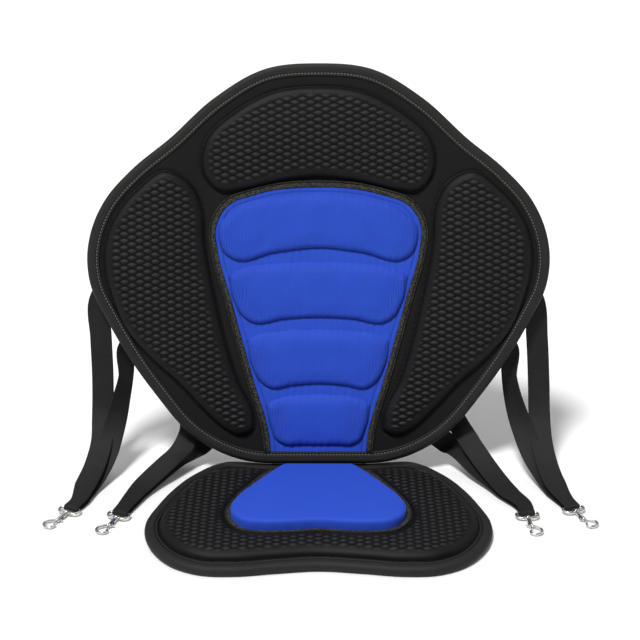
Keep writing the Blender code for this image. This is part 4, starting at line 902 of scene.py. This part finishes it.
class KAYAKSEAT_OT_center_panel(bpy.types.Operator):
    """Blue panel with four quilted cells, and the sewn trim round it"""
    bl_idname = "kayak_seat.center_panel"
    bl_label = "Centre Panel"

    def execute(self, context):
        set_to = sizes()
        cells = [cell_outline(cell) for cell in CELLS]
        spread = (PANEL_WIDTH + 0.02, 0.0, PANEL_HEIGHT + 0.01)
        rough = pattern_grid(*spread, 0.005, 0.005)
        depth = depth_in(cells, *rough)
        moved = blown_up("cell_cloth", rough, set_to.cell_rise * shoulder(depth, set_to.cell_shoulder),
                         depth - 0.001, pressure=1.5, slack=0.004, cap=0.0010)
        across, up = fine = pattern_grid(*spread, 0.0011, 0.0010)
        depth = depth_in(cells, *fine)
        inside = depth_in([panel_loop()], *fine)
        toward = facing_up(depth)
        soft = set_to.cell_shoulder * (1.0 + 0.6 * np.clip(-toward, 0.0, 1.0))
        height = LAYER / 2 + 0.0002 + set_to.cell_rise * shoulder(depth, soft)
        # Channels sink deeper and take more painted shade along the cells' lower edges
        channel = line_at(depth, -0.0003, set_to.channel_width * 0.5) * np.clip(0.8 + 0.7 * toward, 0.08, 1.0)
        height = height - channel * set_to.channel_depth * 0.7
        pucker = np.sin(across * 2 * math.pi / PUCKER_PITCH + 3 * ripple(*fine, 0.02, 5))
        height += PUCKER_RISE * pucker * line_at(np.abs(depth), 0.003, 0.004)
        crease = line_at(inside, 0.0055, 0.0012) * (depth < -0.001)
        height = height - CREASE_DEPTH * crease + 0.0003 * ripple(*fine, 0.02, 4)
        ends = ease(1 - (panel_side(up) - np.abs(across)) / 0.045)
        # relief: painted shade in the channels and in the crease by the panel's edge
        sheet = laid_cloth("center_panel_cloth", on_back, fine, height, carried_over(moved, rough, fine),
                           (inside < -0.0022) | (up < 0.003), (0, -1, 0),
                           relief=np.clip(1 - 0.75 * channel - 0.5 * crease, 0, 1),
                           gathers=(0.35 + 0.65 * ends) * ease((depth + 0.001) / 0.003))
        dress(sheet, "backrest", "panel", "blue_fabric", "back_center_panel")
        path = offset(panel_edge(0.0030), 0.0074 / 2 - GAP, closed=False)
        lift = BINDING_REACH - 0.002
        path = np.concatenate(([(path[0, 0], lift)], path[path[:, 1] > lift + 0.002], [(path[-1, 0], lift)]))
        tape = tape_on(path, *PANEL_TAPE, on_back, "panel_trim")
        dress(tape, "backrest", "trim", "stitched_trim", "center_panel_trim")
        return {"FINISHED"}


def tape_on(path, width, rise, place, name):
    """A sewn tape along a path of the pattern: a flat woven band with a corded outer edge."""
    base = LAYER / 2
    section, painted_shades = [], []
    for share in np.linspace(-1.0, 1.0, 21):
        band = math.sqrt(max(1 - abs((share + 0.30) / 0.70) ** 4, 0.0)) * 0.72
        cord = math.sqrt(max(1 - ((share - 0.70) / 0.30) ** 2, 0.0))
        section.append((width / 2 * share, base + rise * max(band, cord, 0.05)))
        # Painted shade: darker where the tape lies low, in the dip between band and cord and underneath; the
        # cord is kept darker than the band
        painted_shades.append(max(min(band * 1.3, 1.0), cord * 0.55, 0.05))
    section += [(width / 2, base - 0.0004), (-width / 2, base - 0.0004)]
    return swept(name, place, path, section, painted_shades + [0.05, 0.05])


def binding(name, loop, place):
    """Folded edge tape: round nose, soft arms and a sewn groove along each arm, with painted shade in the
    groove and the tuck.
    """
    turns = np.radians(np.linspace(-90, 90, 15))
    nose = [(BINDING_HALF * math.cos(turn), BINDING_HALF * math.sin(turn), 1.0) for turn in turns]
    arm = []
    for share in np.linspace(0.10, 1.0, 16):
        groove = line_at(share, STITCH_SHARE, 0.13)
        tuck = ease((share - 0.86) / 0.14)
        # Third value: painted shade, dark in the sewn groove, in the tuck and on the inner wall
        arm.append((-BINDING_REACH * share, BINDING_HALF - 0.0001 - 0.0009 * groove - 0.0010 * tuck,
                    max(1.0 - 0.85 * groove - 0.9 * tuck, 0.05)))
    section = [(out, -level, shade) for out, level, shade in reversed(arm)] + nose + arm
    section += [(-BINDING_REACH, 0.0, 0.05)]
    return swept(name, place, loop, [row[:2] for row in section], [row[2] for row in section], looped=True)


class KAYAKSEAT_OT_bindings(bpy.types.Operator):
    """Folded edge tape round both halves, its stitches and the cloth hinge"""
    bl_idname = "kayak_seat.bindings"
    bl_label = "Edge Bindings"

    def execute(self, context):
        stitch_level = BINDING_HALF - STITCH_SUNK
        for body, shape, width, height, place, finish, faces in (
                ("backrest", BACK_SHAPE, BACK_WIDTH, BACK_HEIGHT, on_back, "thread", ("front", "rear")),
                ("seat", SEAT_SHAPE, SEAT_WIDTH, SEAT_DEPTH, on_seat, "binding", ("front",))):
            loop = edge_outline(shape, width, height, 0.0045)
            tape = binding(body + "_binding", loop, place)
            dress(tape, body, "binding", "binding_tape", body + "_edge_binding")
            line = offset(loop, -BINDING_REACH * STITCH_SHARE)
            line = np.concatenate((line, line[:1])).T
            for face in faces:
                path = place(*line, stitch_level if face == "front" else -stitch_level)
                row = stitches(f"{body}_{face}_stitches", path, path - place(*line, 0.0), sizes())
                dress(row, body, finish, "binding_tape")
        inner, outer = BINDING_HALF + GAP, HINGE_Z - 2 * BINDING_HALF - GAP
        turns = np.radians(np.linspace(222, 285, 19))
        arc = [(radius, turn) for radius, row in ((inner, turns), (outer, turns[::-1])) for turn in row]
        rings = np.array([[(side, HINGE_Y + radius * math.cos(turn), HINGE_Z + radius * math.sin(turn))
                           for radius, turn in arc] for side in np.linspace(-CRADLE_HALF, CRADLE_HALF, 28)])
        cradle = laid_grid("hinge_cloth", shut(rings), closed_round=True, capped=True, relief=0.8)
        dress(cradle, "seat", "binding", "binding_tape", "hinge_tape")
        return {"FINISHED"}


class KAYAKSEAT_OT_rear_cloth(bpy.types.Operator):
    """Plain cloth on the backrest's rear and under the seat"""
    bl_idname = "kayak_seat.rear_cloth"
    bl_label = "Rear and Base Cloth"

    def execute(self, context):
        def rear_level(pattern, inside):
            return 0.0002 * (1 + ripple(*pattern, 0.06, 8))

        def base_level(pattern, inside):
            return -ease((inside - CUSHION_START) / 0.003) * (BINDING_HALF - LAYER / 2 - 0.0001)

        for name, body, outline, low, place, toward, level, slot, node in (
                ("backrest_rear_cloth", "backrest", (BACK_SHAPE, BACK_WIDTH, BACK_HEIGHT), 0.0, on_back,
                 (0, 1, 0), rear_level, "moulded_fabric", "backrest_back_cover"),
                ("seat_base_cloth", "seat", (SEAT_SHAPE, SEAT_WIDTH, SEAT_DEPTH), -0.008, on_seat,
                 (0, 0, -1), base_level, "base_fabric", "seat_base_cover")):
            _, width, height = outline
            pattern = pattern_grid(width, low, height, PLAIN_CELL, PLAIN_CELL)
            inside = depth_in([edge_outline(*outline)], *pattern)
            still = np.zeros(inside.shape + (3,))
            sheet = laid_cloth(name, place, pattern, -LAYER / 2 + level(pattern, inside), still,
                               inside < CLOTH_EDGE, toward)
            dress(sheet, body, "rear", slot, node)
            areas = np.empty(len(sheet.data.polygons))
            sheet.data.polygons.foreach_get("area", areas)
        return {"FINISHED"}


def ramp_to(ahead):
    """The cushion's rise from its thin rear edge: 0 at the start, 1 past the ramp."""
    return np.sin(np.clip((ahead - CUSHION_START) / CUSHION_RAMP, 0.0, 1.0) * math.pi / 2)


class KAYAKSEAT_OT_seat_cloth(bpy.types.Operator):
    """Moulded cushion of the seat, its blue middle pad and the trim round that pad"""
    bl_idname = "kayak_seat.seat_cloth"
    bl_label = "Seat Cloth"

    def execute(self, context):
        set_to = sizes()
        edge = edge_outline(SEAT_SHAPE, SEAT_WIDTH, SEAT_DEPTH)
        pad = center_pad_outline(0.005)

        def level(across, ahead):
            """Depth in the cushion, distance from the middle pad, and the cushion's height."""
            depth = depth_in([edge], across, ahead) - CUSHION_START
            from_pad = -depth_in([pad], across, ahead)
            rise = np.minimum(shoulder(depth, set_to.cushion_shoulder), ramp_to(ahead)) * set_to.cushion_rise
            crown = 0.0016 * ease((from_pad - 0.008) / 0.012) * np.clip(depth / CUSHION_RAMP, 0.0, 1.0)
            return depth, from_pad, rise + crown

        rough = pattern_grid(SEAT_WIDTH, -0.005, SEAT_DEPTH, 0.0065, 0.0065)
        depth, from_pad, height = level(*rough)
        moved = blown_up("cushion_cloth", rough, height, np.minimum(depth, from_pad - 0.009) - 0.003,
                         pressure=2.0, slack=0.0, cap=0.0030)
        fine = pattern_grid(SEAT_WIDTH, -0.005, SEAT_DEPTH, set_to.bump_pitch / BUMP_CELLS,
                            set_to.bump_row / BUMP_CELLS)
        depth, from_pad, height = level(*fine)
        bumped = ease((depth - 0.006) / 0.006) * ease((from_pad - 0.010) / 0.004)
        dome = lenses(*fine, set_to.bump_pitch, set_to.bump_row)
        groove = line_at(from_pad, 0.0088, 0.0016) * ease((fine[1] - 0.02) / 0.02)
        foot = line_at(depth, -0.0008, 0.0020)
        height = LAYER / 2 + height + bumped * dome * set_to.bump_rise * 0.8
        height = height - GROOVE_DEPTH * groove - FOOT_DEPTH * foot
        height += WAVE_RISE * ripple(*fine, WAVE_SPREAD, 3)
        # relief: painted highlight on the bump crowns, painted shade in the pits, in the groove round the
        # middle pad and at the cushion's foot
        sheet = laid_cloth("seat_cloth", on_seat, fine, height, carried_over(moved, rough, fine),
                           (depth + CUSHION_START < CLOTH_EDGE) | (from_pad < PAD_EDGE), (0, 0, 1),
                           relief=((0.30 + bumped * (0.52 * dome ** 0.6 - 0.22))
                                   * (1 - FOLD_SHADE * np.maximum(groove, foot))))
        dress(sheet, "seat", "moulded", "moulded_fabric", "seat_top_cover")
        self.middle_pad(set_to.cushion_rise)
        path = offset(center_pad_outline(0.0030), 0.0055 / 2 + 2 * GAP)
        first = int(np.argmin(np.abs(path[:, 0]) + path[:, 1]))
        path = np.roll(path, -first, axis=0)
        path = path[path[:, 1] > PAD_START + 0.0004]
        tape = tape_on(path, *PAD_TAPE, lambda x, y, height: on_seat(x, y, height + level(x, y)[2]),
                       "seat_pad_tape")
        dress(tape, "seat", "trim", "stitched_trim", "seat_pad_trim")
        return {"FINISHED"}

    def middle_pad(self, cushion_rise):
        """Rings from the pad's wall over its rounded rim to the middle of its top."""
        walls = 9
        loop = center_pad_outline(0.0025)
        middle = np.array((0.0, (PAD_START + PAD_DEPTH) / 2))
        reach = np.linalg.norm(loop - middle, axis=1)[:, None]
        insets = [0.0] * walls + list(np.linspace(0.0007, 0.0075, 11))
        rim = [middle + (loop - middle) * (1 - inset / reach) for inset in insets]
        rest = [middle + (rim[-1] - middle) * (1 - share) for share in np.linspace(0.04, 1.0, 32)]
        places = np.array(rim + rest)
        across, ahead = places[..., 0], places[..., 1]
        depth = np.maximum(depth_in([loop], across, ahead), 0.0)
        share = np.clip((ahead - PAD_START) / (PAD_DEPTH - PAD_START), 0.0, 1.0)
        full = cushion_rise + 0.0015 + 0.0115 * share
        full *= PAD_REAR_SHARE + (1 - PAD_REAR_SHARE) * ramp_to(ahead)
        top = full - np.minimum(0.0042 * (1 - shoulder(depth, 0.0055)), full * 0.6)
        top += 0.0022 * ease(depth / 0.05) * share + 0.0002 * ripple(across, ahead, 0.02, 6)
        wall = np.linspace(0.0, 1.0, walls)[:, None]
        top[:walls] = top[walls - 1] * wall + (1 - wall) * -0.001
        swell = np.sin(wall * math.pi)
        gathers = np.sin(np.arange(len(loop)) * 0.9 + 2.5 * ripple(loop[:, 0], loop[:, 1], 0.02, 7))
        places[:walls] += ((loop - middle) / reach) * ((0.0004 + PUCKER_RISE * gathers) * swell)[..., None]
        rings = on_seat(across, ahead, LAYER / 2 + top)
        sheet = laid_grid("seat_middle_pad", shut(rings), shut(places), closed_round=True, relief=1.0)
        face_front(sheet, (0, 0, 1))
        dress(sheet, "seat", "panel", "blue_fabric", "seat_center_pad")


# Straps

def web_layer(count):
    """Middle of the webbing over a cloth and so many layers of webbing."""
    return GAP + WEB_THICKNESS / 2 + count * (WEB_THICKNESS + GAP)


BAR_LOOP = math.hypot(BUCKLE_BAR, BUCKLE_THICKNESS) / 2 + GAP + WEB_THICKNESS / 2
BUCKLE_OUT = web_layer(0) + BAR_LOOP
HALF_TURN = np.radians((0, 45, 90, 135, 180))


def flip(point, side):
    return np.array((point[0] * side, point[1], point[2]))


def back_strip(anchor, side, rows):
    """Stations on the backrest's rear: each row is (along, out from the rear cloth)."""
    heading = math.radians(anchor[2])
    ahead = np.array((math.cos(heading), math.sin(heading)))
    step = np.array((-ahead[1], ahead[0])) * WEB_WIDTH / 2
    stations = []
    for along, out in rows:
        spot = ahead * along + anchor[:2]
        left, right = (on_back(*(spot + sign * step), -LAYER / 2) for sign in (-1, 1))
        stations.append((flip(on_back(*spot, -LAYER / 2 - out), side), flip(right - left, side), WEB_WIDTH))
    return stations


def round_bar(bar, toward):
    return [(bar + toward * BAR_LOOP * math.sin(turn), BUCKLE_OUT + BAR_LOOP * math.cos(turn))
            for turn in HALF_TURN]


def snap_matrix(name):
    x, y, heading = SNAPS[name]
    return (Matrix.Translation((x, y, EYE_WIRE / 2 + 2 * GAP + WEB_THICKNESS))
            @ Matrix.Rotation(math.radians(heading), 4, "Z") @ Matrix.Rotation(HOOK_PITCH, 4, "Y"))


def webbing(name, stations, body, *nodes):
    """Webbing with rounded selvedges through (point, width direction, width) stations."""
    rows = np.array([np.concatenate((point, across / np.linalg.norm(across), [width]))
                     for point, across, width in stations])
    spans = 8
    curve = smooth(rows[:, :3], False, spans)
    others = read_at(np.arange(len(curve)) / spans, np.arange(len(rows)), rows[:, 3:])
    ahead = headings(curve, False)
    side = unit(others[:, :3] - ahead * (others[:, :3] * ahead).sum(axis=1)[:, None])
    up = np.cross(ahead, side)
    half, wide = WEB_THICKNESS / 2, others[:, 3:4] / 2
    shares = (-0.96, -0.86, -0.6, -0.3, 0.0, 0.3, 0.6, 0.86, 0.96)
    flat = [(share, 0.94 + 0.06 * math.cos(share * 5)) for share in shares]
    section = flat + [(1.0, 0.0)] + [(share, -level) for share, level in reversed(flat)] + [(-1.0, 0.0)]
    rings = np.stack([curve + side * wide * out + up * half * level for out, level in section], axis=1)
    girth = lengths(np.array(section + section[:1]) * (WEB_WIDTH / 2, half))
    pattern = np.stack(np.broadcast_arrays(girth[None, :], lengths(curve)[:, None]), axis=-1)
    strap = laid_grid(name, shut(rings), pattern, closed_round=True, capped=True)
    return dress(strap, body, "webbing", "webbing", *nodes)


class KAYAKSEAT_OT_straps(bpy.types.Operator):
    """Webbing straps and the tabs that hold the buckles"""
    bl_idname = "kayak_seat.straps"
    bl_label = "Straps"

    def execute(self, context):
        for name, route in ROUTES.items():
            ends = UPPER_ENDS if name.startswith("upper") else LOWER_ENDS
            self.strap(name, 1 if name.endswith("left") else -1, {**ends, **route})
        return {"FINISHED"}

    def strap(self, name, side, route):
        place = snap_matrix(name)
        bar_across = np.array(place.to_3x3() @ Vector((0, 1, 0)))
        if bar_across[0] * side < 0:
            bar_across = -bar_across
        loop = EYE_WIRE / 2 + GAP + WEB_THICKNESS / 2
        wrap = [(EYE_BAR_X - 0.012, loop * 1.1), (EYE_BAR_X - loop, loop)]
        wrap += [(EYE_BAR_X + loop * math.sin(turn), loop * math.cos(turn)) for turn in HALF_TURN]
        wrap += [(EYE_BAR_X - loop, -loop), (EYE_BAR_X - 0.012, -loop)]
        start = back_strip(route["sewn"], side, [(0.0, web_layer(0)), (SEWN_LENGTH * 0.5, web_layer(0)),
                                                 (SEWN_LENGTH, web_layer(1))])
        outer = BUCKLE_OUT + BAR_LOOP
        rows = [(BUCKLE_PITCH + 0.014, outer), (BUCKLE_PITCH * 0.5, outer), *round_bar(0.0, -1),
                (BUCKLE_PITCH * 0.5, web_layer(0)), (BUCKLE_PITCH * 2, web_layer(0)),
                (BUCKLE_PITCH + TAIL_LENGTH, web_layer(0))]
        free = np.array((float(side), 0.0, 0.0))
        stations = start + [(flip(point, side), free, WEB_WIDTH) for point in route["down"]]
        stations += [(np.array(place @ Vector((x, 0, z))), bar_across, WEB_AT_EYE) for x, z in wrap]
        for point, turn in zip(route["up"], np.radians(route["turns"])):
            stations.append((flip(point, side), flip((math.cos(turn), math.sin(turn), 0.0), side), WEB_WIDTH))
        stations += back_strip(route["buckle"], side, rows)
        webbing("strap_web_" + name, stations, "backrest", "strap_" + name)
        bar, half_tab, far = -BUCKLE_PITCH, -BUCKLE_PITCH - TAB_LENGTH * 0.5, -BUCKLE_PITCH - TAB_LENGTH
        rows = [(far, web_layer(1)), (half_tab, web_layer(1) + GAP), *round_bar(bar, 1),
                (half_tab, web_layer(0)), (far, web_layer(0))]
        tab = back_strip(route["buckle"], side, rows)
        webbing("buckle_tab_" + name, tab, "backrest", "strap_tab_" + name)


# Snaps, all drawn with the hook along X and the eye's bar along Y

def tube(name, path, radius, closed=False, sides=14):
    """Round wire along a flat path of the snap's own plane, with rounded ends."""
    ahead = headings(path, closed)
    thick = np.full(len(path), radius)
    if not closed:
        for k, share in enumerate((0.35, 0.75, 0.95)):
            thick[k] = thick[-1 - k] = radius * share
    rings = np.stack([np.stack((path[:, 0] + ahead[:, 1] * thick * math.cos(turn),
                                path[:, 1] - ahead[:, 0] * thick * math.cos(turn),
                                thick * math.sin(turn)), axis=-1)
                      for turn in np.linspace(0, 2 * math.pi, sides + 1)], axis=1)
    if closed:
        rings = np.concatenate((rings, rings[:1]))
    return laid_grid(name, rings, closed_along=closed, closed_round=True, capped=not closed)


def lathe(name, profile, sides=20):
    """Turned part about X from (along, radius) pairs."""
    turns = np.linspace(0, 2 * math.pi, sides + 1)
    rings = np.array([[(along, max(radius, 1e-5) * math.cos(turn), max(radius, 1e-5) * math.sin(turn))
                       for turn in turns] for along, radius in profile])
    return laid_grid(name, rings, closed_round=True, capped=True)


def cast(pieces, voxel):
    """Pieces fused into one smooth casting."""
    bpy.ops.object.select_all(action="DESELECT")
    for piece in pieces:
        piece.select_set(True)
    body = bpy.context.view_layer.objects.active = pieces[0]
    bpy.ops.object.join()
    remesh = body.modifiers.new("Remesh", "REMESH")
    remesh.mode = "VOXEL"
    remesh.voxel_size = voxel
    remesh.use_smooth_shade = True
    soften = body.modifiers.new("Smooth", "SMOOTH")
    soften.factor = 0.5
    soften.iterations = 5
    apply_all(body)
    return body


class KAYAKSEAT_OT_snaps(bpy.types.Operator):
    """Swivel bolt snaps: wire eye, hook casting and spring bolt"""
    bl_idname = "kayak_seat.snaps"
    bl_label = "Swivel Snaps"

    def execute(self, context):
        for part, source, node in (("eye", self.eye(), "swivel_eye_"), ("hook", self.hook(), "hook_body_"),
                                   ("bolt", self.bolt(), "hook_bolt_")):
            for name in SNAPS:
                self.place(source, part + "_" + name, node + name, name)
            bpy.data.objects.remove(source)
        return {"FINISHED"}

    def eye(self):
        half, back, corner = (EYE_INSIDE + EYE_WIRE) / 2, EYE_BAR_X, EYE_CORNER
        half_path = [(back, 0.0), (back, half - corner), (back + corner * 0.3, half - corner * 0.3),
                     (back + corner, half), (-corner * 1.4, half - corner * 0.2),
                     (-corner * 0.4, half - corner * 0.7), (0.0, half - corner * 1.6), (0.0, 0.0)]
        path = smooth(half_path + [(x, -y) for x, y in reversed(half_path[1:-1])], True)
        wire = tube("eye", resample(path, True, 0.0012), EYE_WIRE / 2, closed=True)
        boss = lathe("boss", [(-0.0018, 0.0), (-0.0018, 0.0027), (-0.0014, 0.0031), (0.0014, 0.0031),
                              (0.0018, 0.0027), (0.0018, 0.0)])
        return cast([wire, boss], EYE_VOXEL)

    def hook(self):
        start, end = BARREL_START, BARREL_END
        stem = lathe("stem", [(-0.0035, 0.0), (-0.0035, 0.0017), (-0.0027, 0.0024), (-0.0021, 0.0024),
                              (-0.0021, 0.0012), (start, 0.0012), (start, 0.0019), (start + 0.0008, 0.0025),
                              (start + 0.0020, 0.0026), (start + 0.0024, 0.0023), (start + 0.0029, 0.0023),
                              (start + 0.0033, 0.0026), (end - 0.0012, 0.0026), (end, 0.0022), (end, 0.0)])
        route = smooth([(end + x, y) for x, y in HOOK_PATH], False)
        hook = cast([stem, tube("ring", resample(route, False, 0.0009), RING_RADIUS)], HOOK_VOXEL)
        self.cut_slot(hook)
        return hook

    def bolt(self):
        back, tip = BOLT_TIP - 0.0140, BOLT_TIP
        pin = lathe("pin", [(back, 0.0), (back, 0.0011), (tip - 0.0005, 0.0011), (tip, 0.0007), (tip, 0.0)])
        stalk = np.array([(KNOB_X, -KNOB_LENGTH * share) for share in np.linspace(0, 1, 12)])
        cap = np.array([(KNOB_X + step, -CAP_Y) for step in np.linspace(-CAP_HALF, CAP_HALF, 12)])
        knob, knob_cap = tube("knob", stalk, KNOB_RADIUS), tube("knob_cap", cap, CAP_RADIUS)
        return cast([pin, knob, knob_cap], BOLT_VOXEL)

    def cut_slot(self, hook):
        """Slot in the barrel that the bolt's knob slides in."""
        bpy.ops.object.select_all(action="DESELECT")
        bpy.ops.mesh.primitive_cube_add(size=1, location=(KNOB_X - BOLT_TRAVEL / 2, -SLOT_DEEP, 0),
                                        scale=SLOT_SIZE)
        cutter = bpy.context.object
        cut = hook.modifiers.new("Slot", "BOOLEAN")
        cut.operation = "DIFFERENCE"
        cut.object = cutter
        apply_all(hook)
        bpy.data.objects.remove(cutter)

    def place(self, source, part, node, name):
        """A copy of the snap's part at one strap; those on the left are mirrored."""
        piece = source.copy()
        piece.data = source.data.copy()
        piece.name = piece.data.name = "snap_" + part
        bpy.context.scene.collection.objects.link(piece)
        left = name.endswith("left")
        piece.data.transform(snap_matrix(name) @ Matrix.Diagonal((1, -1 if left else 1, 1, 1)))
        if left:
            edited(piece, bpy.ops.mesh.flip_normals)
        dress(piece, part, "nickel", "nickel", node)


class KAYAKSEAT_OT_carried_over(bpy.types.Operator):
    """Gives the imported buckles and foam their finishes"""
    bl_idname = "kayak_seat.carried_over"
    bl_label = "Buckles and Foam"

    def execute(self, context):
        for name, node in frame["nodes"].items():
            for words, finish in (("slide_buckle", "plastic"), ("_core", "foam")):
                if words in name:
                    for entry in node.material_slots:
                        entry.material = FINISHES[finish]
        return {"FINISHED"}


class KAYAKSEAT_OT_stage(bpy.types.Operator):
    """Pale floor, soft studio light and the camera"""
    bl_idname = "kayak_seat.stage"
    bl_label = "Stage"

    def execute(self, context):
        scene = context.scene
        bpy.ops.object.select_all(action="DESELECT")
        bpy.ops.mesh.primitive_plane_add(size=12, location=(0, 0, -0.0004))
        floor = context.object
        floor.name = "floor"
        material, _, surface = shader("pale floor", Roughness=0.85)
        surface["Base Color"].default_value = (*scene.kayak_seat_colors.floor, 1.0)
        floor.data.materials.append(material)
        world = scene.world or bpy.data.worlds.new("studio")
        scene.world = world
        world.use_nodes = True
        background = world.node_tree.nodes["Background"]
        background.inputs["Color"].default_value = (1, 1, 1, 1)
        background.inputs["Strength"].default_value = WORLD_STRENGTH
        bpy.ops.object.light_add(type="SUN", location=(-0.6, -0.9, 2.5))
        key = context.object
        key.data.energy = SUN_POWER
        key.data.angle = SUN_ANGLE
        self.aim(key, Vector(SUN_WAY))
        for place, energy, width in SOFT_BOXES:
            bpy.ops.object.light_add(type="AREA", location=place)
            light = context.object
            light.data.size = width
            light.data.energy = energy
            self.aim(light, Vector(SOFT_BOX_AIM) - light.location)
        bpy.ops.object.camera_add(location=CAMERA_PLACE)
        camera = context.object
        self.aim(camera, Vector(CAMERA_AIM) - camera.location)
        camera.data.lens = LENS_SHARE * camera.data.sensor_width
        camera.data.shift_x = CAMERA_SHIFT
        scene.camera = camera
        scene.view_settings.view_transform = "Standard"
        return {"FINISHED"}

    def aim(self, lamp, way):
        lamp.rotation_euler = way.to_track_quat("-Z", "Y").to_euler()


class KAYAKSEAT_PT_panel(bpy.types.Panel):
    """Sizes, colours and steps of the kayak seat"""
    bl_idname = "KAYAKSEAT_PT_panel"
    bl_label = "Kayak Seat"
    bl_space_type = "VIEW_3D"
    bl_region_type = "UI"
    bl_category = "Kayak Seat"

    def draw(self, context):
        layout = self.layout
        for made in OPERATORS:
            layout.operator(made.bl_idname)
        for owner in (context.scene.kayak_seat_sizes, context.scene.kayak_seat_colors):
            box = layout.box()
            for field in owner.__annotations__:
                box.prop(owner, field)


OPERATORS = (KAYAKSEAT_OT_stage, KAYAKSEAT_OT_finishes, KAYAKSEAT_OT_backrest_cloth,
             KAYAKSEAT_OT_center_panel, KAYAKSEAT_OT_bindings, KAYAKSEAT_OT_rear_cloth,
             KAYAKSEAT_OT_seat_cloth, KAYAKSEAT_OT_straps, KAYAKSEAT_OT_snaps, KAYAKSEAT_OT_carried_over)
CLASSES = (KayakSeatColors, KayakSeatSizes) + OPERATORS + (KAYAKSEAT_PT_panel,)


def register():
    for made in CLASSES:
        bpy.utils.register_class(made)
    bpy.types.Scene.kayak_seat_colors = PointerProperty(type=KayakSeatColors)
    bpy.types.Scene.kayak_seat_sizes = PointerProperty(type=KayakSeatSizes)


def unregister():
    del bpy.types.Scene.kayak_seat_sizes
    del bpy.types.Scene.kayak_seat_colors
    for made in reversed(CLASSES):
        bpy.utils.unregister_class(made)


def main():
    register()
    bpy.ops.kayak_seat.stage()
    bpy.ops.kayak_seat.finishes()
    bpy.ops.kayak_seat.backrest_cloth()
    bpy.ops.kayak_seat.center_panel()
    bpy.ops.kayak_seat.bindings()
    bpy.ops.kayak_seat.rear_cloth()
    bpy.ops.kayak_seat.seat_cloth()
    bpy.ops.kayak_seat.straps()
    bpy.ops.kayak_seat.snaps()
    bpy.ops.kayak_seat.carried_over()


if __name__ == "__main__":
    main()
